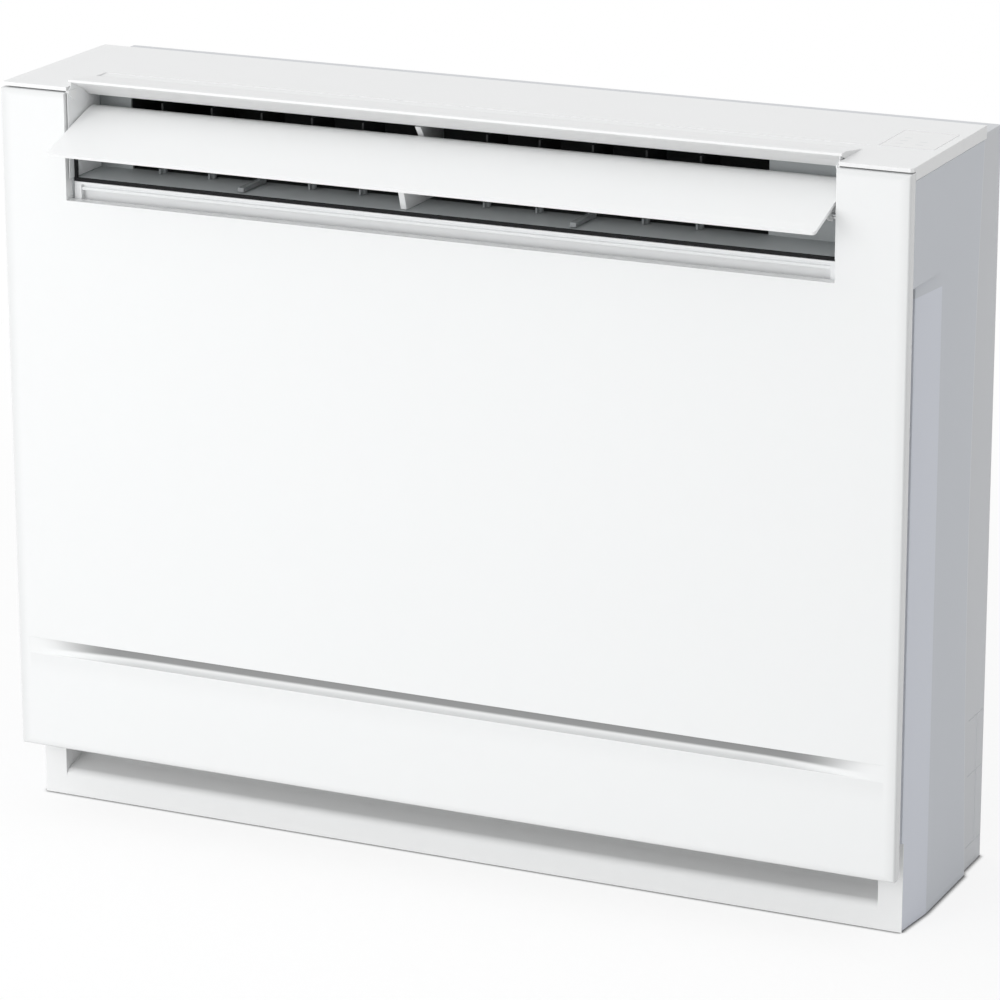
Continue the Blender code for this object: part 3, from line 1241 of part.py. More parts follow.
def build_drain_pan():
    left = COIL_LEFT - PAN_END_MARGIN
    right = COIL_RIGHT + PAN_END_MARGIN
    front = COIL_FRONT - PAN_FRONT_MARGIN
    pan = block("drain_pan", (left, right), (front, PAN_BACK), (PAN_BOTTOM, PAN_BOTTOM + PAN_HEIGHT))
    cut(
        pan,
        block(
            "pan_hollow", (left + WALL, right - WALL), (front + WALL, PAN_BACK - WALL),
            (PAN_BOTTOM + WALL, PAN_BOTTOM + PAN_HEIGHT + WALL),
        ),
    )
    span = right - left
    for share in (0.1, 0.5, 0.9):
        x = left + span * share
        rib = block(
            "pan_rib", (x - WALL, x + WALL), (front + WALL / 2, PAN_BACK - WALL / 2),
            (PAN_BOTTOM + WALL / 2, PAN_BOTTOM + WALL + PAN_RIB_HEIGHT),
        )
        join(pan, rib)
    centre = (front + WALL + SPOUT_RADIUS, PAN_BOTTOM + SPOUT_RADIUS + GAP)
    join(pan, rod("pan_spout", "X", centre, SPOUT_RADIUS, left - SPOUT_LENGTH, left + WALL / 2, 14))
    spout_bore = rod(
        "pan_spout_bore", "X", centre, 0.6 * SPOUT_RADIUS,
        left - SPOUT_LENGTH - WALL, left + 2 * WALL, 12,
    )
    cut(pan, spout_bore)
    return dress(pan, "natural_plastic")


def build_lower_damper():
    y, z = DAMPER_PIVOT
    left = THROAT_LEFT + 2 * GAP
    right = THROAT_RIGHT - 2 * GAP
    half = DAMPER_THICKNESS / 2
    low = CHANNEL_BOTTOM + FLAP_END_GAP
    blade = [(y - half, low), (y + half, low), (y + half, z), (y - half, z)]
    damper = prism("lower_damper", "X", blade, left, right)
    motor_start = THROAT_RIGHT + WALL + GAP
    join(
        damper,
        rod("damper_barrel", "X", (y, z), DAMPER_BARREL_RADIUS, left, right, 12),
        rod("damper_pin", "X", (y, z), DAMPER_PIN_RADIUS, left - WALL, motor_start + DAMPER_MOTOR_LENGTH / 3, 10),
    )
    dress(damper, "natural_plastic")
    hang_on(damper, (0, y, z))
    motor_end = motor_start + DAMPER_MOTOR_LENGTH
    motor = rod("damper_motor", "X", (y, z), DAMPER_MOTOR_RADIUS, motor_start, motor_end, 16)
    bore = rod(
        "damper_motor_bore", "X", (y, z), DAMPER_PIN_RADIUS + PIN_CLEARANCE,
        motor_start - WALL, motor_start + DAMPER_MOTOR_LENGTH / 2, 10,
    )
    cut(motor, bore)
    dress(motor, "natural_plastic")


def filter_windows():
    """The X span of the left and of the right inlet window."""
    middle = THROAT_MIDDLE
    return {
        "left": (THROAT_LEFT - WINDOW_INSET, middle - CENTRE_BAR / 2),
        "right": (middle + CENTRE_BAR / 2, THROAT_RIGHT - WINDOW_INSET / 2),
    }


def build_filter_frame():
    half = FLANGE_HALF - WALL - GAP
    bottom = PAN_BOTTOM
    top = DUCT_BOTTOM - GAP
    frame = block("filter_frame", (-half, half), (FRAME_FRONT, FRAME_BACK), (bottom, top))
    window_low = PAN_BOTTOM + PAN_HEIGHT + WALL
    window_high = top - 2 * WINDOW_INSET
    filter_low = window_low - FILTER_OVERLAP
    filter_high = window_high - FILTER_LIFT + FILTER_OVERLAP
    hook_front = FRAME_FRONT - GAP - FILTER_THICKNESS - GAP - HOOK_THICKNESS
    through = (FRAME_FRONT - WALL, FRAME_BACK + WALL)
    for name, (left, right) in filter_windows().items():
        cell_width = (right - left - BAR_WIDTH * (GRID_COLUMNS - 1)) / GRID_COLUMNS
        cell_height = (window_high - window_low - BAR_WIDTH * (GRID_ROWS - 1)) / GRID_ROWS
        for column in range(GRID_COLUMNS):
            for row in range(GRID_ROWS):
                x = left + column * (cell_width + BAR_WIDTH)
                z = window_low + row * (cell_height + BAR_WIDTH)
                cell = block("frame_cell", (x, x + cell_width), through, (z, z + cell_height))
                cut(frame, cell)
        low, high = left - FILTER_OVERLAP, right + FILTER_OVERLAP
        for x in (low + HOOK_INSET, high - HOOK_INSET):
            span = (x - HOOK_WIDTH / 2, x + HOOK_WIDTH / 2)
            foot = filter_low - GAP
            lower = [
                (FRAME_FRONT + WALL / 3, foot), (hook_front + HOOK_THICKNESS, foot),
                (hook_front + HOOK_THICKNESS, foot + HOOK_HEIGHT), (hook_front, foot + HOOK_HEIGHT),
                (hook_front, foot - HOOK_THICKNESS), (FRAME_FRONT + WALL / 3, foot - HOOK_THICKNESS),
            ]
            head = filter_high + FILTER_LIFT + GAP
            upper = [
                (FRAME_FRONT + WALL / 3, head), (hook_front + HOOK_THICKNESS, head),
                (hook_front + HOOK_THICKNESS, head - HOOK_HEIGHT - FILTER_LIFT),
                (hook_front, head - HOOK_HEIGHT - FILTER_LIFT), (hook_front, head + HOOK_THICKNESS),
                (FRAME_FRONT + WALL / 3, head + HOOK_THICKNESS),
            ]
            join(frame, prism("lower_hook", "X", lower, *span), prism("upper_hook", "X", upper, *span))
        build_air_filter(f"{name}_air_filter", (low, high), (filter_low, filter_high))
    button_place = (HALF - BUTTON_INSET, top - BUTTON_DROP)
    cut(frame, rod("button_hole", "Y", button_place, BUTTON_RADIUS + PIN_CLEARANCE, *through, 12))
    for side in (-1, 1):
        for z in (SCREW_LOW, SCREW_HIGH):
            place = (side * (FLANGE_HALF - FLANGE_WIDTH / 2), z)
            cut(frame, rod("frame_hole", "Y", place, SCREW_RADIUS + PIN_CLEARANCE, *through, 10))
    dress(frame, "white_casing")
    build_button(button_place)
    build_room_sensor()


def build_air_filter(name, x, z):
    back = FRAME_FRONT - GAP
    front = back - FILTER_THICKNESS
    net = block(name, x, (front, back), z)
    width = (x[1] - x[0] - FILTER_BORDER * 4) / 3
    height = (z[1] - z[0] - FILTER_BORDER * 4) / 3
    for column in range(3):
        for row in range(3):
            left = x[0] + FILTER_BORDER + column * (width + FILTER_BORDER)
            low = z[0] + FILTER_BORDER + row * (height + FILTER_BORDER)
            depth = (front - WALL, front + FILTER_POCKET)
            cut(net, block("filter_pocket", (left, left + width), depth, (low, low + height)))
    dress(net, "filter_net")
    hang_on(net, ((x[0] + x[1]) / 2, back, z[0]))


def build_button(place):
    tip = FRAME_FRONT - BUTTON_PROUD
    collar = FRAME_BACK + GAP
    profile = [
        (BUTTON_RADIUS - BUTTON_EDGE, tip), (BUTTON_RADIUS, tip + BUTTON_EDGE), (BUTTON_RADIUS, collar),
        (BUTTON_RADIUS + BUTTON_COLLAR, collar), (BUTTON_RADIUS + BUTTON_COLLAR, collar + BUTTON_COLLAR),
    ]
    mesh_data = bmesh.new()
    sides = 16
    rings = []
    for radius, y in profile:
        ring = []
        for k in range(sides):
            angle = math.tau * k / sides
            x = place[0] + radius * math.cos(angle)
            ring.append(mesh_data.verts.new((x, y, place[1] + radius * math.sin(angle))))
        rings.append(ring)
    for ring, following in zip(rings, rings[1:]):
        for a in range(sides):
            b = (a + 1) % sides
            mesh_data.faces.new((ring[a], ring[b], following[b], following[a]))
    mesh_data.faces.new(rings[0])
    mesh_data.faces.new(rings[-1])
    button = add_object("power_button", mesh_data)
    dress(button, "white_gloss", smooth=True)
    hang_on(button, (place[0], FRAME_FRONT, place[1]))


def build_room_sensor():
    x = HALF - SENSOR_INSET
    y = FRAME_FRONT - GAP - SENSOR_RADIUS
    sensor = rod("room_sensor", "Z", (x, y), SENSOR_RADIUS, SENSOR_HEIGHT, SENSOR_HEIGHT + SENSOR_LENGTH, 12)
    clip = block(
        "sensor_clip", (x - 1.6 * SENSOR_RADIUS, x + 1.6 * SENSOR_RADIUS), (y, FRAME_FRONT - GAP),
        (SENSOR_HEIGHT + SENSOR_LENGTH / 3, SENSOR_HEIGHT + SENSOR_LENGTH * 2 / 3),
    )
    join(sensor, clip)
    dress(sensor, "black_plastic")


def build_screws():
    for side, name in ((-1, "left"), (1, "right")):
        for z, level in ((SCREW_LOW, "lower"), (SCREW_HIGH, "upper")):
            place = (side * (FLANGE_HALF - FLANGE_WIDTH / 2), z)
            seat = CASING_FRONT - GAP
            screw = rod(f"{name}_{level}_screw", "Y", place, SCREW_HEAD_RADIUS, seat - SCREW_HEAD_HEIGHT, seat, 14)
            shank = (seat - SCREW_HEAD_HEIGHT / 2, seat + SCREW_LENGTH)
            join(screw, rod("screw_shank", "Y", place, SCREW_RADIUS, *shank, 10))
            slot = SCREW_HEAD_RADIUS * 0.7
            for along, across in ((slot, slot / 5), (slot / 5, slot)):
                recess = block(
                    "screw_recess", (place[0] - along, place[0] + along),
                    (seat - 2 * SCREW_HEAD_HEIGHT, seat - SCREW_HEAD_HEIGHT / 2), (z - across, z + across),
                )
                cut(screw, recess)
            dress(screw, "zinc_steel")


def build_electrical_box():
    top = BOX_TOP
    box = block("electrical_box", (BOX_LEFT, BOX_RIGHT), (BOX_FRONT, BOX_BACK), (BOX_BOTTOM, top))
    inner_back = BOX_BACK - BOX_WALL
    hollow = block(
        "box_hollow", (BOX_LEFT + BOX_WALL, BOX_RIGHT - BOX_WALL), (BOX_FRONT - WALL, inner_back),
        (BOX_BOTTOM + BOX_WALL, top - BOX_WALL),
    )
    cut(box, hollow)
    chassis_inside = CHASSIS_HALF - SHEET - GAP
    for z in (BOX_BOTTOM + BOX_TAB, top - BOX_TAB):
        tab = block(
            "box_tab", (BOX_RIGHT - BOX_WALL / 2, chassis_inside), (CHASSIS_FRONT + WALL, BOX_BACK - WALL),
            (z - BOX_TAB / 4, z + BOX_TAB / 4),
        )
        join(box, tab)
    lid_back = BOX_FRONT - GAP
    lid = block(
        "electrical_box_lid", (BOX_LEFT, BOX_RIGHT), (lid_back - BOX_WALL, lid_back), (BOX_BOTTOM, top)
    )
    left = BOX_LEFT + BOARD_MARGIN
    right = BOX_RIGHT - BOARD_MARGIN
    board_low = BOX_BOTTOM + TERMINAL_HEIGHT + 3 * BOARD_MARGIN
    board_high = top - 2 * BOARD_MARGIN
    board_back = inner_back - STANDOFF_LENGTH - GAP
    for x in (left + BOARD_MARGIN, right - BOARD_MARGIN):
        for z in (board_low + BOARD_MARGIN, board_high - BOARD_MARGIN):
            post = (board_back + GAP, inner_back + BOX_WALL / 2)
            join(box, rod("board_post", "Y", (x, z), STANDOFF_RADIUS, *post, 10))
    board_depth = (board_back - BOARD_THICKNESS, board_back)
    board = block("circuit_board", (left, right), board_depth, (board_low, board_high))
    terminal_low = BOX_BOTTOM + BOARD_MARGIN
    terminal_back = inner_back - GAP
    terminal = block(
        "terminal_block", (left, right), (terminal_back - TERMINAL_DEPTH, terminal_back),
        (terminal_low, terminal_low + TERMINAL_HEIGHT),
    )
    pitch = (right - left) / TERMINAL_WAYS
    slot_half = pitch * TERMINAL_SLOT_SHARE / 2
    for i in range(TERMINAL_WAYS):
        x = left + pitch * (i + 0.5)
        slot = block(
            "terminal_slot", (x - slot_half, x + slot_half),
            (terminal_back - TERMINAL_DEPTH - WALL, terminal_back - TERMINAL_DEPTH / 2),
            (terminal_low + WALL, terminal_low + TERMINAL_HEIGHT - WALL),
        )
        cut(terminal, slot)
    dress(box, "zinc_steel")
    dress(lid, "zinc_steel")
    dress(board, "circuit_green")
    dress(terminal, "black_plastic")


def build_ion_unit():
    left = THROAT_RIGHT + DUCT_WALL + GAP
    front = MOUTH_BACK + DUCT_WALL + WALL
    low = FLOOR + WALL
    unit = block(
        "ion_unit", (left, left + ION_UNIT_WIDTH), (front, front + ION_UNIT_LENGTH), (low, low + ION_UNIT_HEIGHT)
    )
    dress(unit, "black_plastic")


def main():
    clear_scene()
    build_front_panel()
    build_top_cover()
    build_side_cover("left_side_cover", -1)
    build_side_cover("right_side_cover", 1)
    build_base()
    build_rear_chassis()
    build_outlet_frame()
    build_outlet_duct()
    build_duct_divider()
    build_air_flap()
    build_vanes()
    build_fan_casing()
    build_bell_mouth()
    build_fan()
    build_heat_exchanger()
    build_pipes()
    build_drain_pan()
    build_lower_damper()
    build_filter_frame()
    build_screws()
    build_electrical_box()
    build_ion_unit()


main()
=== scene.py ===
"""Looks of the floor console air conditioner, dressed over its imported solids.

Metres, in the frame of the solids: the floor is Z 0, the front faces -Y, and +X is to the right of
someone who faces the front. Every new piece rides on the body whose solid it stands for.
"""

import logging
import math
from dataclasses import dataclass
from enum import Enum
from typing import Sequence

import bmesh
import bpy
from bpy.types import Material, NodeSocket, NodeTree, Object
from mathutils import Matrix, Vector


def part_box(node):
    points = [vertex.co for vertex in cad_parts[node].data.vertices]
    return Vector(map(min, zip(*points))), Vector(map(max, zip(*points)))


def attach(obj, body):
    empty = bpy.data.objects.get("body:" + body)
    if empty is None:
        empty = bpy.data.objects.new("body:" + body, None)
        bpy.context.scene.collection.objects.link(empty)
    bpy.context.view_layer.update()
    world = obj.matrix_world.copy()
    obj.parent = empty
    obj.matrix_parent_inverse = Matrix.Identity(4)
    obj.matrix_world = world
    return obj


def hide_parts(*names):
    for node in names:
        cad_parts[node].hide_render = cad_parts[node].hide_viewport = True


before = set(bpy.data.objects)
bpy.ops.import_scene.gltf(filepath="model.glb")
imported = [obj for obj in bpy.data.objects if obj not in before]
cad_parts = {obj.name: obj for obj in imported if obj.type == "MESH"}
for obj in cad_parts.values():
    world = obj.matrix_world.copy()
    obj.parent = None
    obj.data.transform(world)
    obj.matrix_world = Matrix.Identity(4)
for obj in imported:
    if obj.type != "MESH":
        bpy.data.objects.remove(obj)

LOG = logging.getLogger("floor_console")
MERGE = 0.00001
Pair = tuple[float, float]
Triple = tuple[float, float, float]
Colour = Triple


class Axis(Enum):
    """The axis that a drawn-out outline runs along."""

    X = 0
    Y = 1
    Z = 2


class Operation(Enum):
    """What a Boolean does with its second shape."""

    ADD = "UNION"
    CUT = "DIFFERENCE"


# Shader and geometry trees


class Value:
    """One output socket of a node tree, with arithmetic on it."""

    def __init__(self, graph: "Graph", socket: NodeSocket) -> None:
        """Keeps the socket and the graph that it belongs to."""
        self.graph = graph
        self.socket = socket

    def __add__(self, other: "Operand") -> "Value":
        """This value plus another."""
        return self.graph.arithmetic("ADD", self, other)

    def __radd__(self, other: "Operand") -> "Value":
        """Another value plus this one."""
        return self.graph.arithmetic("ADD", other, self)

    def __sub__(self, other: "Operand") -> "Value":
        """This value less another."""
        return self.graph.arithmetic("SUBTRACT", self, other)

    def __rsub__(self, other: "Operand") -> "Value":
        """Another value less this one."""
        return self.graph.arithmetic("SUBTRACT", other, self)

    def __mul__(self, other: "Operand") -> "Value":
        """This value times another."""
        return self.graph.arithmetic("MULTIPLY", self, other)

    def __rmul__(self, other: "Operand") -> "Value":
        """Another value times this one."""
        return self.graph.arithmetic("MULTIPLY", other, self)

    def __truediv__(self, other: "Operand") -> "Value":
        """This value over another."""
        return self.graph.arithmetic("DIVIDE", self, other)

    def __abs__(self) -> "Value":
        """This value without its sign."""
        return self.graph.add("ShaderNodeMath", {"operation": "ABSOLUTE"}, {0: self})

    def at_least(self, other: "Operand") -> "Value":
        """The greater of this value and another."""
        return self.graph.arithmetic("MAXIMUM", self, other)


Operand = Value | float | Sequence[float]


class Graph:
    """The node tree of a material, a world or a geometry modifier."""

    def __init__(self, tree: NodeTree) -> None:
        """Keeps the tree that the nodes go into."""
        self.tree = tree

    def feed(self, socket: NodeSocket, item: Operand) -> None:
        """Links a value to a socket, or sets the socket's own number or colour.

        Args:
            socket: The input socket.
            item: A value of this graph, or a constant.
        """
        if isinstance(item, Value):
            self.tree.links.new(item.socket, socket)
        elif socket.type == "RGBA" and isinstance(item, Sequence) and len(item) == 3:
            socket.default_value = (*item, 1.0)
        else:
            socket.default_value = item

    def add(
        self,
        kind: str,
        settings: dict | None = None,
        sockets: dict | None = None,
        out: int | str = 0,
    ) -> Value:
        """Makes any node.

        Args:
            kind: The node's type.
            settings: Its own settings, set first.
            sockets: The value or link of each input, by name or number.
            out: The output that is handed back.

        Returns:
            The chosen output as a value.
        """
        node = self.tree.nodes.new(kind)
        for name, setting in (settings or {}).items():
            setattr(node, name, setting)
        for key, item in (sockets or {}).items():
            self.feed(node.inputs[key], item)
        return Value(self, node.outputs[out])

    def arithmetic(self, operation: str, left: Operand, right: Operand) -> Value:
        """Adds the node that works out left operation right.

        Args:
            operation: ADD, SUBTRACT, MULTIPLY, DIVIDE or another Math operation.
            left: A value or a constant.
            right: A value or a constant.

        Returns:
            A number, a vector or a colour, after the kinds of left and right.
        """
        sides = (left, right)
        kinds = {item.socket.type for item in sides if isinstance(item, Value)}
        first, second = ((item,) * 3 if isinstance(item, (int, float)) else item for item in sides)
        if "VECTOR" in kinds:
            return self.add("ShaderNodeVectorMath", {"operation": operation}, {0: first, 1: second})
        if "RGBA" in kinds or any(isinstance(item, Sequence) for item in sides):
            settings = {"data_type": "RGBA", "blend_type": operation}
            return self.add("ShaderNodeMix", settings, {0: 1.0, 6: first, 7: second}, out=2)
        return self.add("ShaderNodeMath", {"operation": operation}, {0: left, 1: right})

    def mix(self, share: Operand, low: Operand, high: Operand) -> Value:
        """Blends two colours.

        Args:
            share: 0 gives low and 1 gives high.
            low: The first colour.
            high: The second colour.

        Returns:
            The blended colour.
        """
        return self.add("ShaderNodeMix", {"data_type": "RGBA"}, {0: share, 6: low, 7: high}, out=2)

    def place(self) -> Value:
        """The point in metres in the frame of the solids."""
        return self.add("ShaderNodeTexCoord", out="Object")

    def axes(self) -> tuple[Value, Value, Value]:
        """The point's X, Y and Z as three numbers."""
        return self.split(self.place())

    def split(self, vector: Value) -> tuple[Value, Value, Value]:
        """The three numbers of a vector."""
        node = self.add("ShaderNodeSeparateXYZ", sockets={0: vector}).socket.node
        return tuple(Value(self, output) for output in node.outputs)

    def noise(self, scale: float, detail: float = 2.0, stretch: Sequence[float] = (1, 1, 1)) -> Value:
        """Soft noise from 0 to 1.

        Args:
            scale: Features per metre.
            detail: How many finer layers are added.
            stretch: Scale of each axis before the noise.

        Returns:
            The noise as a number.
        """
        sockets = {"Vector": self.place() * tuple(stretch), "Scale": scale, "Detail": detail}
        return self.add("ShaderNodeTexNoise", sockets=sockets)

    def step(self, item: Operand, ends: Pair, origin: float = 0.0) -> Value:
        """Maps a number onto 0 to 1, smoothly and within those ends.

        Args:
            item: The number.
            ends: The value that gives 0, and the one that gives 1.
            origin: What both ends are counted from.

        Returns:
            The mapped number.
        """
        sockets = {"Value": item, "From Min": origin + ends[0], "From Max": origin + ends[1]}
        return self.add("ShaderNodeMapRange", {"interpolation_type": "SMOOTHSTEP"}, sockets)

    def bump(self, height: Operand, depth: float, strength: float = 1.0) -> Value:
        """A normal that is bent by a height.

        Args:
            height: A number from 0 to 1.
            depth: The height of 1, in metres.
            strength: How much of the bend is used.

        Returns:
            The bent normal.
        """
        sockets = {"Height": height, "Distance": depth, "Strength": strength}
        return self.add("ShaderNodeBump", sockets=sockets, out="Normal")


class Surface:
    """A new material with its graph and its main shader."""

    def __init__(self, name: str, **constants: float) -> None:
        """Makes the material and sets the shader's own sockets.

        Args:
            name: The material's name.
            **constants: Socket names, with _ for a space, and their numbers.
        """
        self.material = bpy.data.materials.new(name)
        self.material.use_nodes = True
        self.graph = Graph(self.material.node_tree)
        self.shader = self.material.node_tree.nodes["Principled BSDF"]
        for key, number in constants.items():
            self.shader.inputs[key.replace("_", " ")].default_value = number

    def feed(self, **values: Operand) -> Material:
        """Feeds the shader's sockets.

        Args:
            **values: Socket names, with _ for a space, and their values.

        Returns:
            The material.
        """
        for key, item in values.items():
            self.graph.feed(self.shader.inputs[key.replace("_", " ")], item)
        return self.material


# Finishes


@dataclass(frozen=True)
class Moulded:
    """Moulded plastic: slow drift of tone, a fine grain and an uneven gloss."""

    name: str
    colour: Colour
    roughness: float
    drift: float = 0.02
    grain: float = 0.00002
    grain_scale: float = 1400.0
    coat: float = 0.0
    specular: float = 0.5
    slow_scale: float = 3.0
    cloud_scale: float = 45.0
    pebble_scale: float = 260.0

    def painted_light_factor(self, graph: Graph) -> Operand:
        """The painted light and shade on the colour, which plain plastic doesn't have."""
        return 1.0

    def material(self) -> Material:
        """The finish as a material."""
        constants = {"Coat_Weight": self.coat, "Coat_Roughness": 0.12, "Specular_IOR_Level": self.specular}
        surface = Surface(self.name, IOR=1.5, **constants)
        graph = surface.graph
        slow = graph.noise(self.slow_scale, 2.0) - 0.5
        cloudy = graph.noise(self.cloud_scale, 3.0) - 0.5
        fine = graph.noise(self.grain_scale, 2.0)
        # Each finish's painted light and shade multiplies the tone.
        tone = (1.0 + slow * self.drift + cloudy * (self.drift * 0.4)) * self.painted_light_factor(graph)
        return surface.feed(
            Base_Color=tone * self.colour,
            Roughness=self.roughness + cloudy * 0.08 + (fine - 0.5) * 0.05,
            Normal=graph.bump(fine + graph.noise(self.pebble_scale, 1.0) * 0.6, self.grain),
        )


@dataclass(frozen=True)
class Grooved(Moulded):
    """Moulded plastic whose long groove has painted shade on its upper wall over a bright lip, with painted
    shade under the lip and along the panel's rim.
    """

    front: float = -0.1035
    deep: Pair = (0.00035, 0.00595)
    groove: Pair = (0.1300, 0.1430)
    wall_foot: Pair = (0.0032, 0.0056)
    wall_head: Pair = (0.0006, -0.0004)
    lip_foot: Pair = (-0.0200, -0.0015)
    lip_head: Pair = (-0.0002, -0.0012)
    ends: Pair = (0.3655, 0.3635)
    painted_wall_shade: float = 0.66
    painted_lip_shade: float = 0.035
    rim: float = 0.010
    painted_rim_shade: float = 0.100
    side: float = 0.3750
    bottom: float = 0.0510
    top: float = 0.5910

    def painted_light_factor(self, graph: Graph) -> Operand:
        """The factor on the colour: painted shade over the groove's wall, under its lip and at the rim."""
        x, y, z = graph.axes()
        low, high = self.groove
        inside = graph.step(abs(x), self.ends)
        wall = graph.step(z, self.wall_foot, low) * graph.step(z, self.wall_head, high)
        lip = graph.step(z, self.lip_foot, low) * graph.step(z, self.lip_head, low)
        # Painted shade on the groove's deep upper wall and in a band under its lip.
        shade = wall * graph.step(y, self.deep, self.front) * self.painted_wall_shade + lip * self.painted_lip_shade
        # Painted shade along the panel's rim, at its sides, bottom and top.
        beside = graph.step(abs(x), (-self.rim, 0.0), self.side)
        below = graph.step(z, (0.6 * self.rim, 0.0), self.bottom)
        above = graph.step(z, (-0.6 * self.rim, 0.0), self.top)
        return 1.0 - beside.at_least(below.at_least(above)) * self.painted_rim_shade - inside * shade


@dataclass(frozen=True)
class Throated(Moulded):
    """Moulded plastic of the duct, with painted shade inside its throat."""

    mouth: float = -0.0475
    fade: Pair = (0.0, 0.003)
    painted_throat_shade: float = 0.11

    def painted_light_factor(self, graph: Graph) -> Operand:
        """The factor on the colour: painted shade, which falls behind the mouth."""
        _, y, _ = graph.axes()
        # Painted shade: the colour falls behind the throat's mouth.
        return 1.0 - graph.step(y, self.fade, self.mouth) * (1.0 - self.painted_throat_shade)


@dataclass(frozen=True)
class Sided(Moulded):
    """Moulded plastic of the side covers, with painted light on the tapered facet beside the inlet and a
    painted highlight along the bowed rear edge.
    """

    facet_rear: float = -0.0305
    facet_top: float = 0.4930
    facet_fade: Pair = (0.0004, 0.0)
    painted_facet_light: Colour = (1.13, 1.13, 1.16)
    rear: float = 0.0580
    bow: float = 0.0120
    middle: float = 0.2923
    edge_fade: Pair = (-0.0013, -0.0009)
    painted_edge_highlight: Colour = (1.28, 1.26, 1.22)

    def painted_light_factor(self, graph: Graph) -> Operand:
        """The factor on the colour: painted light that rises on the facet, and a painted highlight along the
        bowed rear edge.
        """
        _, y, z = graph.axes()
        low = graph.step(z, self.facet_fade, self.facet_top)
        facet = graph.step(y, self.facet_fade, self.facet_rear) * low
        offset = (z - self.middle) / self.middle
        edge = graph.step(y - offset * offset * self.bow, self.edge_fade, self.rear - self.bow)
        # Painted light on the facet and a painted highlight along the rear edge.
        return graph.mix(edge, graph.mix(facet, (1.0, 1.0, 1.0), self.painted_facet_light), self.painted_edge_highlight)


@dataclass(frozen=True)
class Levered(Moulded):
    """Moulded plastic of the vanes: painted shade darkens the blades over the paler levers."""

    blade_low: float = 0.5265
    fade: Pair = (0.0, 0.002)
    painted_blade_shade: float = 0.14

    def painted_light_factor(self, graph: Graph) -> Operand:
        """The factor on the colour: painted shade, which falls on the blade."""
        _, _, z = graph.axes()
        # Painted shade: the colour falls on the blades above their levers.
        return 1.0 - graph.step(z, self.fade, self.blade_low) * (1.0 - self.painted_blade_shade)


@dataclass(frozen=True)
class Metal:
    """Plated sheet or drawn metal: spangle or drawing lines, with dull patches."""

    name: str
    colour: Colour
    roughness: float
    spangle: float = 90.0
    stretch: Triple = (1.0, 1.0, 1.0)
    contrast: float = 0.12

    def material(self) -> Material:
        """The finish as a material."""
        surface = Surface(self.name, Metallic=1.0)
        graph = surface.graph
        sockets = {"Vector": graph.place() * self.stretch, "Scale": self.spangle}
        cells = graph.add("ShaderNodeTexVoronoi", sockets=sockets, out="Color")
        level = graph.add("ShaderNodeRGBToBW", sockets={0: cells}) - 0.5
        dull = graph.noise(22.0, 4.0) - 0.5
        lines = graph.noise(900.0, 1.0, self.stretch)
        return surface.feed(
            Base_Color=(1.0 + level * self.contrast + dull * 0.15) * self.colour,
            Roughness=self.roughness + level * 0.12 + dull * 0.2,
            Normal=graph.bump(lines, 0.00001),
        )


@dataclass(frozen=True)
class Foam:
    """Cellular rubber: matt, with open pores."""

    name: str
    colour: Colour
    pores: float = 1500.0

    def material(self) -> Material:
        """The finish as a material."""
        surface = Surface(self.name, IOR=1.4)
        graph = surface.graph
        sockets = {"Vector": graph.place(), "Scale": self.pores}
        pores = graph.add("ShaderNodeTexVoronoi", sockets=sockets, out="Distance")
        return surface.feed(
            Base_Color=(0.6 + pores * 0.9) * self.colour,
            Roughness=0.78 + pores * 0.2,
            Normal=graph.bump(pores, 0.00015),
        )


@dataclass(frozen=True)
class Board:
    """A lacquered circuit board: green mask with paler copper runs under it."""

    name: str
    colour: Colour
    run: Colour

    def material(self) -> Material:
        """The finish as a material."""
        surface = Surface(self.name, IOR=1.5)
        graph = surface.graph
        sockets = {"Vector": graph.place(), "Rotation": (math.pi / 2, 0.0, 0.0)}
        turned = graph.add("ShaderNodeMapping", sockets=sockets)
        settings = {"offset": 0.37, "squash": 2.4, "squash_frequency": 3}
        sockets = {"Scale": 60.0, "Mortar Size": 0.035, "Brick Width": 0.55, "Row Height": 0.16}
        runs = graph.add("ShaderNodeTexBrick", settings, {"Vector": turned, **sockets}, out="Fac")
        cloud = graph.noise(70.0, 3.0) - 0.5
        return surface.feed(
            Base_Color=graph.mix(runs * 0.6, self.colour, self.run) * (1.0 + cloud * 0.3),
            Roughness=0.32 + cloud * 0.2 + runs * 0.1,
            Normal=graph.bump(runs, 0.00005),
        )


@dataclass(frozen=True)
class Pane:
    """The indicator window: polished pale plastic with rows of small plain marks behind it."""

    name: str
    colour: Colour
    mark: Colour
    left: float
    front: float
    size: Pair = (0.0424, 0.0554)
    bars: tuple[Pair, ...] = ((0.26, 0.20), (0.26, 0.38), (0.26, 0.56), (0.62, 0.20), (0.62, 0.38))
    bar_width: Pair = (0.0032, 0.0028)
    bar_length: Pair = (0.0010, 0.0007)

    def material(self) -> Material:
        """The finish as a material."""
        surface = Surface(self.name, IOR=1.5, Coat_Weight=0.5, Coat_Roughness=0.05)
        graph = surface.graph
        x, y, _ = graph.axes()
        marks = 0.0
        for across, along in self.bars:
            near_x = abs(x - (self.left + self.size[0] * across))
            near_y = abs(y - (self.front + self.size[1] * along))
            marks = marks + graph.step(near_x, self.bar_width) * graph.step(near_y, self.bar_length)
        cloud = graph.noise(30.0, 2.0) - 0.5
        return surface.feed(
            Base_Color=graph.mix(marks * 0.35, (1.0 + cloud * 0.02) * self.colour, self.mark),
            Roughness=0.14 + cloud * 0.06 + marks * 0.1,
        )


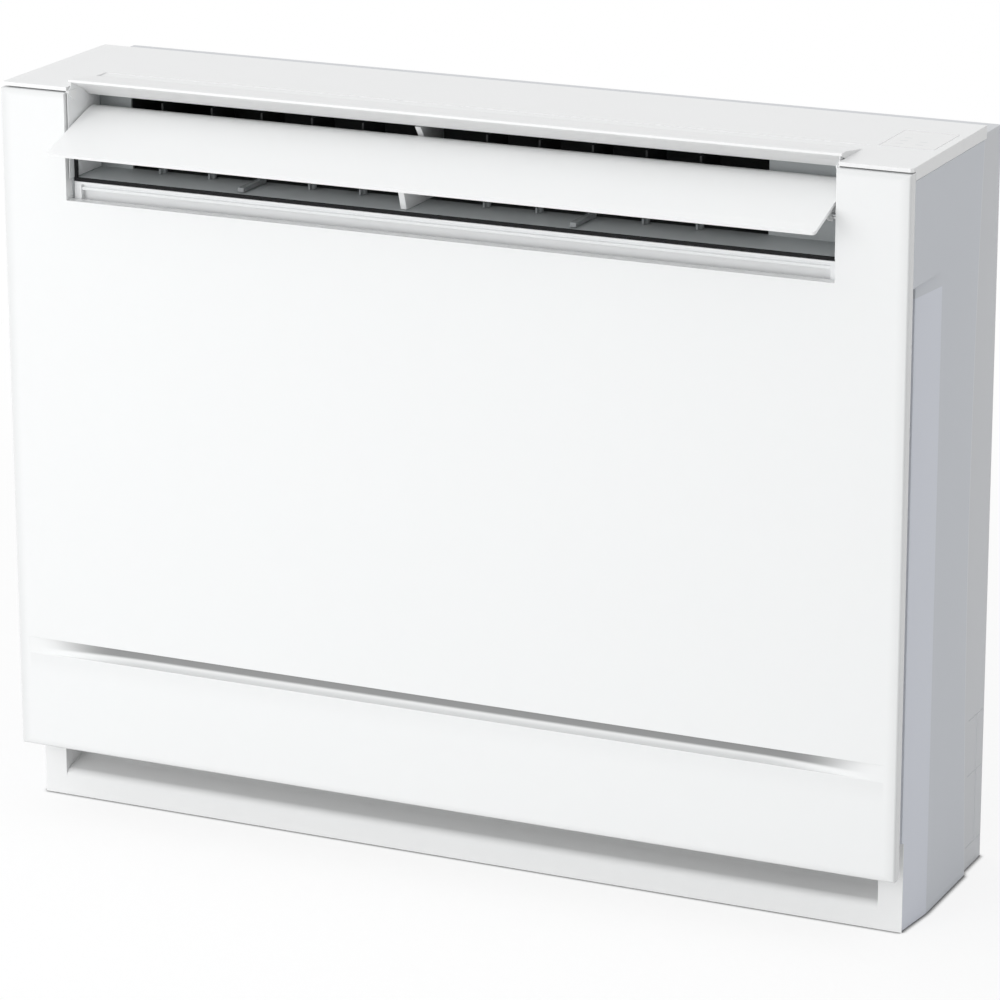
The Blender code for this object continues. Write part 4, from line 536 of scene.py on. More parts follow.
@dataclass(frozen=True)
class Net:
    """Woven filter net: crossing threads over a darker ground."""

    name: str
    colour: Colour
    ground: Colour
    pitch: float = 0.0012

    def material(self) -> Material:
        """The finish as a material."""
        surface = Surface(self.name, IOR=1.45)
        graph = surface.graph
        x, _, z = graph.axes()
        turn = math.tau / self.pitch
        wave = {"operation": "SINE"}
        across, along = (graph.add("ShaderNodeMath", wave, {0: item * turn}) for item in (x, z))
        threads = across.at_least(along) * 0.5 + 0.5
        dust = graph.noise(25.0, 4.0)
        return surface.feed(
            Base_Color=graph.mix(threads, self.ground, self.colour) * (0.85 + dust * 0.3),
            Roughness=0.62 + dust * 0.2,
            Normal=graph.bump(threads, 0.0002),
        )


class Finish(Enum):
    """The finishes of the unit, each with the material slot that it stands for."""

    PANEL = ("white_gloss", Grooved("panel_gloss", (0.868, 0.875, 0.874), 0.24, 0.010, 0.000006, 900.0, 0.25))
    FLAP = ("white_gloss", Moulded("flap_gloss", (0.910, 0.915, 0.913), 0.34, 0.010, 0.000003, 900.0, 0.05))
    COVER = ("white_casing", Moulded("cover_satin", (0.905, 0.907, 0.905), 0.36, 0.014, 0.00002))
    # Painted shade: the side covers' colour is darker and cooler than the cover's white, for the side turned
    # away from the lamp.
    SIDE = (
        "cool_white_casing", Sided("side_satin", (0.690, 0.712, 0.752), 0.46, 0.020, 0.00003, specular=0.25)
    )
    BASE = ("white_casing", Moulded("base_satin", (0.890, 0.894, 0.892), 0.38, 0.014, 0.00002))
    # Painted shade: the chassis shares the cover's white slot, with a darker colour for the shaded side that
    # shows.
    CHASSIS = ("white_casing", Moulded("chassis_plain", (0.680, 0.692, 0.715), 0.46, 0.020, 0.00003))
    OUTLET = ("white_casing", Moulded("outlet_satin", (0.900, 0.908, 0.912), 0.36, 0.014, 0.00002))
    DUCT = ("duct_grey", Throated("duct_grain", (0.500, 0.525, 0.533), 0.50, 0.060, 0.00005, 1100.0))
    VANE = ("duct_grey", Levered("vane_grain", (0.300, 0.315, 0.322), 0.48, 0.050, 0.00004, 1100.0))
    BLACK = ("black_plastic", Moulded("black_moulding", (0.030, 0.031, 0.033), 0.46, 0.100, 0.00003))
    NATURAL = ("natural_plastic", Moulded("natural_moulding", (0.620, 0.630, 0.620), 0.48, 0.040, 0.00003))
    FAN = ("fan_plastic", Moulded("fan_moulding", (0.100, 0.110, 0.120), 0.44, 0.060, 0.00003))
    SEAL = ("black_foam", Foam("seal_foam", (0.014, 0.014, 0.015)))
    STEEL = ("zinc_steel", Metal("plated_steel", (0.600, 0.610, 0.620), 0.36))
    COPPER = ("copper", Metal("drawn_copper", (0.720, 0.380, 0.240), 0.30, 30.0, (3.0, 3.0, 0.4), 0.06))
    BRASS = ("brass", Metal("turned_brass", (0.720, 0.560, 0.270), 0.28, 40.0, (1.0, 6.0, 1.0), 0.05))
    FINS = ("aluminium_fin", Metal("fin_sheet", (0.760, 0.780, 0.800), 0.34, 60.0, (1.0, 1.0, 0.3), 0.06))
    BOARD = ("circuit_green", Board("lacquered_board", (0.040, 0.200, 0.090), (0.120, 0.360, 0.160)))
    NET = ("filter_net", Net("filter_net", (0.300, 0.310, 0.320), (0.110, 0.115, 0.120)))
    WINDOW = (
        "smoke_window", Pane("indicator_pane", (0.800, 0.802, 0.800), (0.340, 0.400, 0.420), 0.3256, -0.0347)
    )

    @property
    def slot(self) -> str:
        """The record's material slot."""
        return self.value[0]

    def material(self) -> Material:
        """The finish's material, made the first time it is asked for."""
        known = bpy.data.materials.get(self.value[1].name)
        return known or self.value[1].material()


# Shapes


def add_object(name: str, mesh_data: bmesh.types.BMesh) -> Object:
    """Makes an object of a mesh under construction, with its faces pointing out.

    Args:
        name: The object's name.
        mesh_data: The mesh, which is freed.

    Returns:
        The object, at the origin.
    """
    bmesh.ops.recalc_face_normals(mesh_data, faces=mesh_data.faces)
    mesh = bpy.data.meshes.new(name)
    mesh_data.to_mesh(mesh)
    mesh_data.free()
    obj = bpy.data.objects.new(name, mesh)
    bpy.context.scene.collection.objects.link(obj)
    return obj


def prism(name: str, axis: Axis, outline: Sequence[Pair], low: float, high: float) -> Object:
    """Draws an outline out along an axis.

    Args:
        name: The object's name.
        axis: The axis to draw it along.
        outline: Points in the plane square to the axis.
        low: Where it starts on the axis.
        high: Where it ends.

    Returns:
        The solid.
    """
    mesh_data = bmesh.new()
    rings = []
    for along in (low, high):
        ring = []
        for point in outline:
            place = list(point)
            place.insert(axis.value, along)
            ring.append(mesh_data.verts.new(place))
        rings.append(ring)
        mesh_data.faces.new(ring)
    for i in range(len(outline)):
        j = (i + 1) % len(outline)
        mesh_data.faces.new((rings[0][i], rings[0][j], rings[1][j], rings[1][i]))
    return add_object(name, mesh_data)


def loft(name: str, rings: Sequence[Sequence[Sequence[float]]]) -> Object:
    """Joins rings of points into a closed solid.

    Args:
        name: The object's name.
        rings: Rings with the same number of points.

    Returns:
        The solid.
    """
    mesh_data = bmesh.new()
    made = [[mesh_data.verts.new(point) for point in ring] for ring in rings]
    for ring, following in zip(made, made[1:]):
        for i in range(len(ring)):
            j = (i + 1) % len(ring)
            mesh_data.faces.new((ring[i], ring[j], following[j], following[i]))
    mesh_data.faces.new(made[0])
    mesh_data.faces.new(made[-1])
    return add_object(name, mesh_data)


def settle(obj: Object) -> Object:
    """Turns an object's live modifiers into a plain mesh.

    Args:
        obj: The object.

    Returns:
        The same object without modifiers.
    """
    graph = bpy.context.evaluated_depsgraph_get()
    mesh = bpy.data.meshes.new_from_object(
        obj.evaluated_get(graph), preserve_all_data_layers=True, depsgraph=graph
    )
    obj.modifiers.clear()
    old = obj.data
    obj.data = mesh
    mesh.name = obj.name
    bpy.data.meshes.remove(old)
    return obj


def combine(obj: Object, operation: Operation, *others: Object) -> Object:
    """Adds other solids to a solid, or cuts them from it, and removes them.

    Args:
        obj: The solid that is kept.
        operation: What is done.
        *others: The solids that are used up.

    Returns:
        The kept solid.
    """
    for other in others:
        modifier = obj.modifiers.new("combine", "BOOLEAN")
        modifier.operation = operation.value
        modifier.solver = "EXACT"
        modifier.object = other
        settle(obj)
        bpy.data.objects.remove(other, do_unlink=True)
    return obj


def copy_of(node: str, name: str) -> Object:
    """Copies a CAD node as one closed mesh with flat faces joined.

    Args:
        node: The CAD node.
        name: The copy's name.

    Returns:
        The copy.
    """
    mesh_data = bmesh.new()
    mesh_data.from_mesh(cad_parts[node].data)
    bmesh.ops.remove_doubles(mesh_data, verts=mesh_data.verts, dist=MERGE)
    bmesh.ops.dissolve_limit(
        mesh_data, angle_limit=math.radians(0.6), verts=mesh_data.verts, edges=mesh_data.edges
    )
    return add_object(name, mesh_data)


def split_concave(obj: Object) -> Object:
    """Splits faces that run round openings into convex ones, so that they can be rounded.

    Args:
        obj: The object.

    Returns:
        The same object.
    """
    mesh_data = bmesh.new()
    mesh_data.from_mesh(obj.data)
    bmesh.ops.connect_verts_concave(mesh_data, faces=mesh_data.faces)
    mesh_data.to_mesh(obj.data)
    mesh_data.free()
    return obj


def soften(obj: Object, width: float, segments: int = 2, angle: float = 35.0) -> Object:
    """Rounds the sharp edges and smooths the rest.

    Args:
        obj: The object.
        width: How far the rounding reaches from the edge, in metres. 0 rounds nothing.
        segments: Faces across the rounding.
        angle: Edges sharper than this, in degrees, are rounded.

    Returns:
        The same object.
    """
    if width > 0.0:
        bevel = obj.modifiers.new("round", "BEVEL")
        bevel.width = width
        bevel.segments = segments
        bevel.limit_method = "ANGLE"
        bevel.angle_limit = math.radians(angle)
        bevel.miter_outer = "MITER_ARC"
        bevel.use_clamp_overlap = True
        settle(obj)
    obj.data.shade_smooth()
    obj.data.set_sharp_from_angle(angle=math.radians(angle))
    obj.modifiers.new("even", "WEIGHTED_NORMAL").keep_sharp = True
    return settle(obj)


def dress(obj: Object, finish: Finish, body: str, *nodes: str) -> Object:
    """Gives a piece its finish and hangs it on its body.

    Args:
        obj: The piece.
        finish: Its finish.
        body: The CAD body that it moves with.
        *nodes: The CAD nodes that it stands for.

    Returns:
        The piece.
    """
    obj.data.materials.clear()
    obj.data.materials.append(finish.material())
    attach(obj, body)
    if nodes:
        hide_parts(*nodes)
    LOG.info("%s: %d faces, on %s", obj.name, len(obj.data.polygons), body)
    return obj


def repaint(finish: Finish, *nodes: str) -> None:
    """Gives CAD nodes whose shape is right a finish.

    Args:
        finish: The finish.
        *nodes: The CAD nodes.
    """
    for node in nodes:
        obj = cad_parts[node]
        for place in obj.material_slots:
            place.material = finish.material()
        LOG.info("%s: kept, %s", node, finish.name.lower())


def refined(finish: Finish, body: str, width: float, *nodes: str, segments: int = 2) -> None:
    """Stands copies with rounded edges in for CAD nodes.

    Args:
        finish: The copies' finish.
        body: The body that they move with.
        width: The size of the rounding.
        *nodes: The CAD nodes.
        segments: Faces across the rounding.
    """
    for node in nodes:
        obj = copy_of(node, node + "_moulding")
        if width > 0.0:
            split_concave(obj)
        dress(soften(obj, width, segments), finish, body, node)


class Shape(Enum):
    """The shapes that are set out again and again."""

    BOX = "GeometryNodeMeshCube"
    DRUM = "GeometryNodeMeshCylinder"


@dataclass(frozen=True)
class Repeat:
    """Copies of one shape in a regular grid, set out by a geometry tree."""

    name: str
    shape: Shape
    size: Triple
    start: Triple
    pitch: Triple
    counts: tuple[int, int, int]
    turn: Triple = (0.0, 0.0, 0.0)
    kept: float = 1.0
    uneven: float = 0.0
    seed: int = 1
    second_draw: int = 7
    sides: int = 24

    def unit(self, graph: Graph) -> Value:
        """The shape, one metre in size."""
        if self.shape is Shape.BOX:
            return graph.add(self.shape.value, sockets={"Size": (1.0, 1.0, 1.0)})
        return graph.add(self.shape.value, sockets={"Vertices": self.sides, "Radius": 0.5, "Depth": 1.0})

    def tree(self, finish: Finish) -> tuple[NodeTree, dict[str, object]]:
        """Makes the geometry tree.

        Args:
            finish: The finish of the copies.

        Returns:
            The tree, and what each of its named inputs is to be.
        """
        tree = bpy.data.node_groups.new(self.name, "GeometryNodeTree")
        tree.interface.new_socket("Geometry", in_out="OUTPUT", socket_type="NodeSocketGeometry")
        inputs = {
            "Size": ("NodeSocketVector", self.size),
            "Start": ("NodeSocketVector", self.start),
            "Pitch": ("NodeSocketVector", self.pitch),
            "Turn": ("NodeSocketVector", self.turn),
            "Across": ("NodeSocketInt", self.counts[0]),
            "Deep": ("NodeSocketInt", self.counts[1]),
            "High": ("NodeSocketInt", self.counts[2]),
            "Kept": ("NodeSocketFloat", self.kept),
            "Uneven": ("NodeSocketFloat", self.uneven),
            "Seed": ("NodeSocketInt", self.seed),
            "Material": ("NodeSocketMaterial", finish.material()),
        }
        for name, (kind, _) in inputs.items():
            tree.interface.new_socket(name, in_out="INPUT", socket_type=kind)
        graph = Graph(tree)
        entry = tree.nodes.new("NodeGroupInput")
        given = {name: Value(graph, entry.outputs[name]) for name in inputs}
        index = graph.add("GeometryNodeInputIndex")
        row = graph.arithmetic("MODULO", index, given["Across"])
        layer = graph.add("ShaderNodeMath", {"operation": "FLOOR"}, {0: index / given["Across"]})
        deep = graph.arithmetic("MODULO", layer, given["Deep"])
        high = graph.add("ShaderNodeMath", {"operation": "FLOOR"}, {0: layer / given["Deep"]})
        cell = graph.add("ShaderNodeCombineXYZ", sockets={0: row, 1: deep, 2: high})
        total = given["Across"] * given["Deep"] * given["High"]
        points = graph.add("GeometryNodeMeshLine", sockets={"Count": total})
        sockets = {"Geometry": points, "Position": given["Start"] + cell * given["Pitch"]}
        laid = graph.add("GeometryNodeSetPosition", sockets=sockets)
        draw = {2: 0.0, 3: 1.0, "Seed": given["Seed"]}
        chance = graph.add("FunctionNodeRandomValue", sockets=draw, out=1)
        draw = {0: (0.0,) * 3, 1: (1.0,) * 3, "Seed": given["Seed"] + self.second_draw}
        differ = graph.add("FunctionNodeRandomValue", {"data_type": "FLOAT_VECTOR"}, draw)
        uneven = graph.add("ShaderNodeCombineXYZ", sockets={i: given["Uneven"] for i in range(3)})
        sockets = {
            "Points": laid, "Selection": graph.arithmetic("LESS_THAN", chance, given["Kept"]),
            "Instance": self.unit(graph), "Rotation": given["Turn"],
            "Scale": given["Size"] * (1.0 - differ * uneven),
        }
        copies = graph.add("GeometryNodeInstanceOnPoints", sockets=sockets)
        plain = graph.add("GeometryNodeRealizeInstances", sockets={0: copies})
        sockets = {"Geometry": plain, "Material": given["Material"]}
        painted = graph.add("GeometryNodeSetMaterial", sockets=sockets)
        leave = tree.nodes.new("NodeGroupOutput")
        graph.feed(leave.inputs["Geometry"], painted)
        return tree, {name: value for name, (_, value) in inputs.items()}

    def build(self, finish: Finish, body: str, *nodes: str) -> Object:
        """Builds the copies as one plain mesh.

        Args:
            finish: Their finish.
            body: The CAD body that they move with.
            *nodes: The CAD nodes that they stand for.

        Returns:
            The piece.
        """
        obj = add_object(self.name, bmesh.new())
        modifier = obj.modifiers.new("set_out", "NODES")
        modifier.node_group, given = self.tree(finish)
        for item in modifier.node_group.interface.items_tree:
            if item.in_out == "INPUT":
                modifier[item.identifier] = given[item.name]
        settle(obj)
        return dress(soften(obj, 0.0), finish, body, *nodes)


# Sub-assemblies


@dataclass
class PanelAssembly:
    """The front panel with its long lens-shaped groove."""

    groove_top: float = 0.143
    groove_height: float = 0.013
    groove_depth: float = 0.007
    groove_margin: float = 0.010
    wall_share: float = 0.66
    wall_points: tuple[Triple, ...] = ((0.93, 0.05, 0.0002), (0.96, 0.50, 0.0003))
    fillet_gap: float = 0.0004
    fillet_steps: int = 10
    slope_depth: float = 0.0006
    slope_height: float = 0.016
    run_out: float = 0.110
    stations: int = 40
    least_depth: float = 0.015
    fade_power: float = 1.3
    proud: float = 0.004
    skin: float = 0.00002
    floor_wall: float = 0.0012
    filler_inset: float = 0.0031
    filler_margin: float = 0.0029
    edge: float = 0.0006
    rim: float = 0.0020
    rim_near: float = 0.0002

    def groove_ring(self, x: float, share: float) -> list[list[float]]:
        """One ring of the groove's cutter.

        Args:
            x: Where it is along the width.
            share: How much of the full depth it has.

        Returns:
            The ring's points.
        """
        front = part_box("front_panel")[0].y
        bottom = self.groove_top - self.groove_height
        depth = self.groove_depth * share
        ring = [[x, front - self.proud, self.groove_top], [x, front, self.groove_top]]
        wall = self.groove_height * self.wall_share * share
        for inward, down, gap in self.wall_points:
            ring.append([x, front + inward * depth, self.groove_top - down * wall - gap])
        fillet = self.groove_height - wall - self.fillet_gap
        lip = self.slope_depth * share
        for k in range(self.fillet_steps + 1):
            angle = math.pi / 2 * k / self.fillet_steps
            y = front + lip + (depth - lip) * math.cos(angle)
            ring.append([x, y, bottom + fillet * (1.0 - math.sin(angle))])
        ring.append([x, front - self.skin, bottom - self.slope_height])
        ring.append([x, front - self.proud, bottom - self.slope_height])
        return ring

    def groove_cutter(self) -> Object:
        """The groove as a solid that fades out towards both ends."""
        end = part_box("front_panel")[1].x - self.groove_margin
        rings = []
        for k in range(self.stations + 1):
            share = k / self.stations
            rise = math.sin(math.pi / 2 * share) ** self.fade_power
            depth = self.least_depth + (1.0 - self.least_depth) * rise
            rings.append(self.groove_ring(-end + self.run_out * share, depth))
        mirrored = [[[-x, y, z] for x, y, z in ring] for ring in reversed(rings)]
        return loft("groove_cutter", rings + mirrored)

    def on_rim(self, edge: bmesh.types.BMEdge, low: Vector, high: Vector) -> bool:
        """Tells whether an edge runs along the outside of the panel's front.

        Args:
            edge: The edge.
            low: The panel's low corner.
            high: The panel's high corner.

        Returns:
            Whether it does.
        """
        ends = [vert.co for vert in edge.verts]
        if any(end.y > low.y + self.rim_near for end in ends):
            return False
        limits = ((0, low.x), (0, high.x), (2, low.z), (2, high.z))
        return any(all(abs(end[i] - limit) < self.rim_near for end in ends) for i, limit in limits)

    def build(self) -> None:
        """Builds the panel."""
        low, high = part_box("front_panel")
        panel = copy_of("front_panel", "front_panel_moulding")
        half = high.x - self.filler_inset
        foot = self.groove_top - self.groove_height - self.filler_margin
        head = self.groove_top + self.filler_margin
        rear = low.y + self.groove_depth + self.floor_wall
        outline = [(-half, foot), (half, foot), (half, head), (-half, head)]
        filler = prism("groove_filler", Axis.Y, outline, low.y + self.skin, rear)
        combine(panel, Operation.ADD, filler)
        combine(panel, Operation.CUT, self.groove_cutter())
        mesh_data = bmesh.new()
        mesh_data.from_mesh(panel.data)
        bmesh.ops.dissolve_limit(
            mesh_data, angle_limit=math.radians(0.3), verts=mesh_data.verts, edges=mesh_data.edges
        )
        outer = [edge for edge in mesh_data.edges if self.on_rim(edge, low, high)]
        bmesh.ops.bevel(mesh_data, geom=outer, offset=self.rim, segments=4, profile=0.5, affect="EDGES")
        mesh_data.to_mesh(panel.data)
        mesh_data.free()
        dress(soften(panel, self.edge, 3, 40.0), Finish.PANEL, "panel", "front_panel")


@dataclass
class CasingAssembly:
    """The covers, the base and the rear chassis."""

    cover_edge: float = 0.0009
    side_edge: float = 0.0008
    base_edge: float = 0.0008
    corner: float = 0.0030
    lip_top: float = 0.0205
    lip_slope: float = 14.54
    lip_radius: float = 0.0075
    chassis_edge: float = 0.0007
    skin: float = 0.00005
    plate: float = 0.0008
    scoop_front: float = -0.0740
    scoop_half: float = 0.3517
    base_inset: float = 0.0005
    base_top_gap: float = 0.0004
    lip_steps: int = 9
    cutter_reach: float = 0.001
    corner_heights: Pair = (0.5800, 0.6010)
    visor_end: Pair = (0.3177, 0.3187)
    visor_tab: Pair = (0.3161, 0.3189)
    visor_outline: tuple[Pair, ...] = (
        (-0.0946, 0.5999), (-0.0857, 0.5999), (-0.0460, 0.5941), (-0.0460, 0.5921), (-0.0653, 0.5853),
        (-0.0662, 0.5839), (-0.0760, 0.5901), (-0.0885, 0.5979), (-0.0946, 0.5983),
    )
    tab_outline: tuple[Pair, ...] = (
        (-0.0990, 0.5921), (-0.0990, 0.5905), (-0.0925, 0.5836), (-0.0874, 0.5882), (-0.0874, 0.5921),
    )

    def build_cover(self) -> None:
        """Builds the top cover with the visor's closed ends and the tabs under its corners."""
        cover = copy_of("top_cover", "top_cover_moulding")
        for side in (-1, 1):
            for outline, span in ((self.visor_outline, self.visor_end), (self.tab_outline, self.visor_tab)):
                near, far = sorted(side * x for x in span)
                combine(cover, Operation.ADD, prism("visor_piece", Axis.X, outline, near, far))
            combine(cover, Operation.CUT, self.corner_cutter(side))
        dress(soften(split_concave(cover), self.cover_edge, 3), Finish.COVER, "casing", "top_cover")

    def corner_cutter(self, side: int) -> Object:
        """What the chamfer of the cover's front corner leaves over.

        Args:
            side: -1 for the left corner and 1 for the right one.

        Returns:
            The solid to cut away.
        """
        low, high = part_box("top_cover")
        beyond, before = high.x + self.cutter_reach, low.y - self.cutter_reach
        outline = [(high.x - self.corner, before), (beyond, before), (beyond, low.y + self.corner)]
        outline = [(side * x, y) for x, y in outline]
        return prism("corner_cutter", Axis.Z, outline, *self.corner_heights)

    def lip_cutter(self, front: float) -> Object:
        """What the round of the scoop's lip leaves over.

        Args:
            front: The base's front face.

        Returns:
            The solid to cut away.
        """
        slope = math.radians(self.lip_slope)
        radius = self.lip_radius
        centre = self.lip_top + radius * (math.tan(slope) - 1.0 / math.cos(slope))
        before, above = front - self.cutter_reach, self.lip_top + 4.0 * self.cutter_reach
        outline = [(before, centre)]
        for k in range(self.lip_steps + 1):
            angle = math.pi - (math.pi / 2 - slope) * k / self.lip_steps
            outline.append((front + radius + radius * math.cos(angle), centre + radius * math.sin(angle)))
        outline += [(outline[-1][0], above), (before, above)]
        return prism("lip_cutter", Axis.X, outline, -self.scoop_half, self.scoop_half)

    def build_base(self) -> None:
        """Builds the base, whose front runs across the posts and whose scoop has a round lip."""
        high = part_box("base")[1]
        base = copy_of("base", "base_moulding")
        front = self.scoop_front - self.skin
        inner, outer = self.scoop_half, high.x - self.base_inset
        top = high.z - self.base_top_gap
        outline = [
            (-outer, 0.0), (outer, 0.0), (outer, top), (inner, top),
            (inner, self.lip_top), (-inner, self.lip_top), (-inner, top), (-outer, top),
        ]
        combine(base, Operation.ADD, prism("base_front", Axis.Y, outline, front, front + self.plate))
        combine(base, Operation.CUT, self.lip_cutter(front))
        dress(soften(base, self.base_edge), Finish.BASE, "casing", "base")

    def build(self) -> None:
        """Builds the casing."""
        self.build_cover()
        refined(Finish.SIDE, "casing", self.side_edge, "left_side_cover", "right_side_cover")
        self.build_base()
        refined(Finish.CHASSIS, "casing", self.chassis_edge, "rear_chassis")
        repaint(Finish.WINDOW, "indicator_window")
        repaint(Finish.BOARD, "indicator_board")


@dataclass
class OutletAssembly:
    """The air outlet: duct, frame, seal, flap, vanes and link bars."""

    edge: float = 0.0004
    flap_edge: float = 0.0006
    vane_edge: float = 0.0003
    vanes: int = 5
    flap_pivot: Pair = (-0.0906, 0.5537)
    flap_open: float = 71.0
    flap_front: float = -0.1035
    flap_low: float = 0.5083
    flap_thickness: float = 0.0026
    flap_corner: float = 0.0028
    corner_reach: float = 0.012
    corner_steps: int = 6
    inset: float = 0.00002
    wall: float = 0.0025
    cheek_lift: float = 0.003
    cheek_thickness: float = 0.0006
    cheek_edge: float = 0.0001
    cheek_top: tuple[Pair, ...] = (
        (-0.0505, 0.5820), (-0.0660, 0.5834), (-0.0757, 0.5896), (-0.0885, 0.5979), (-0.0945, 0.5980),
        (-0.0945, 0.5944), (-0.0999, 0.5921),
    )

    def corner_plate(self, side: int) -> Object:
        """One lower corner of the flap's leaf, tightly rounded, at the open pose.

        Args:
            side: -1 for the left corner and 1 for the right one.

        Returns:
            The plate.
        """
        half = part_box("air_flap")[1].x - self.inset
        low = self.flap_low + self.inset
        radius, reach = self.flap_corner, self.corner_reach
        outline = [(half - reach, low)]
        for k in range(self.corner_steps + 1):
            angle = math.pi / 2 * (k / self.corner_steps - 1)
            x = half - radius + radius * math.cos(angle)
            outline.append((x, low + radius + radius * math.sin(angle)))
        outline += [(half, low + reach), (half - reach, low + reach)]
        outline = [(side * x, z) for x, z in outline]
        rear = self.flap_front + self.flap_thickness - self.inset
        plate = prism("flap_corner", Axis.Y, outline, self.flap_front + self.inset, rear)
        pivot = Vector((0.0, *self.flap_pivot))
        turn = Matrix.Rotation(math.radians(-self.flap_open), 4, "X")
        plate.data.transform(Matrix.Translation(pivot) @ turn @ Matrix.Translation(-pivot))
        return plate

    def build_flap(self) -> None:
        """Builds the air flap with its tight lower corners."""
        flap = copy_of("air_flap", "air_flap_moulding")
        combine(flap, Operation.ADD, self.corner_plate(-1), self.corner_plate(1))
        dress(soften(flap, self.flap_edge, 3), Finish.FLAP, "flap", "air_flap")

    def build_cheeks(self) -> None:
        """Builds the pale end faces of the outlet recess."""
        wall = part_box("outlet_duct")[1].x - self.wall
        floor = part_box("seal_strip")[0].z + self.cheek_lift
        outline = [(self.cheek_top[-1][0], floor), (self.cheek_top[0][0], floor), *self.cheek_top]
        for name, side in (("left", -1), ("right", 1)):
            near, far = sorted((side * (wall - self.inset), side * (wall - self.cheek_thickness)))
            cheek = prism(f"outlet_{name}_cheek", Axis.X, outline, near, far)
            dress(soften(cheek, self.cheek_edge, 1), Finish.OUTLET, "casing")

    def build(self) -> None:
        """Builds the outlet."""
        refined(Finish.OUTLET, "casing", self.edge, "outlet_frame", "duct_divider")
        repaint(Finish.SEAL, "seal_strip")
        refined(Finish.DUCT, "casing", self.edge, "outlet_duct")
        self.build_flap()
        self.build_cheeks()
        repaint(Finish.STEEL, "flap_left_pin", "flap_drive_shaft")
        refined(Finish.NATURAL, "casing", self.edge, "flap_motor")
        for group in ("left", "right"):
            for index in range(1, self.vanes + 1):
                name = f"{group}_vane_{index}"
                refined(Finish.VANE, name, self.vane_edge, name, segments=1)
            refined(Finish.BLACK, f"{group}_link_bar", self.vane_edge, f"{group}_link_bar", segments=1)


@dataclass
class FanAssembly:
    """The fan, its casing and the lower damper."""

    edge: float = 0.0004

    def build(self) -> None:
        """Builds the fan's pieces."""
        refined(Finish.NATURAL, "casing", self.edge, "fan_casing", "bell_mouth_plate", "damper_motor")
        refined(Finish.FAN, "fan", 0.0, "turbo_fan")
        repaint(Finish.STEEL, "motor_shaft", "fan_motor", "motor_bracket")
        refined(Finish.NATURAL, "damper", self.edge, "lower_damper")


@dataclass
class CoilAssembly:
    """The heat exchanger, its pipes and the drain pan."""

    edge: float = 0.0004
    fin_pitch: float = 0.0015
    fin_thickness: float = 0.0002
    tubes: tuple[int, int] = (2, 17)
    tube: float = 0.0070
    tube_gap: float = 0.0002

    def build(self) -> None:
        """Builds the heat exchanger's pieces."""
        low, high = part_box("fin_block")
        size, middle = high - low, (high + low) / 2
        fins = int(size.x / self.fin_pitch)
        sheet = (self.fin_thickness, size.y, size.z)
        start = (low.x + self.fin_thickness / 2, middle.y, middle.z)
        pitch = ((size.x - self.fin_thickness) / (fins - 1), 0.0, 0.0)
        stack = Repeat("fin_stack", Shape.BOX, sheet, start, pitch, (fins, 1, 1))
        stack.build(Finish.FINS, "casing", "fin_block")
        columns, rows = self.tubes
        pitch = (0.0, size.y / columns, size.z / rows)
        start = (middle.x, low.y + pitch[1] / 2, low.z + pitch[2] / 2)
        tube = (self.tube, self.tube, size.x - self.tube_gap)
        turn = (0.0, math.pi / 2, 0.0)
        tubes = Repeat("coil_tubes", Shape.DRUM, tube, start, pitch, (1, columns, rows), turn)
        tubes.build(Finish.COPPER, "casing")
        repaint(Finish.STEEL, "left_end_plate", "right_end_plate")
        repaint(Finish.COPPER, "gas_pipe", "liquid_pipe")
        repaint(Finish.BRASS, "gas_flare_nut", "liquid_flare_nut")
        refined(Finish.NATURAL, "casing", self.edge, "drain_pan")


@dataclass
class InletAssembly:
    """The filter frame, the air filters, the button, the sensor and the casing screws."""

    edge: float = 0.0004
    small_edge: float = 0.0003
    screw_edge: float = 0.0002

    def build(self) -> None:
        """Builds the inlet's pieces."""
        refined(Finish.COVER, "casing", self.edge, "filter_frame")
        for side in ("left", "right"):
            refined(Finish.NET, f"{side}_filter", self.small_edge, f"{side}_air_filter")
            screws = (f"{side}_upper_screw", f"{side}_lower_screw")
            refined(Finish.STEEL, "casing", self.screw_edge, *screws)
        refined(Finish.PANEL, "button", self.small_edge, "power_button")
        refined(Finish.BLACK, "casing", self.small_edge, "room_sensor")


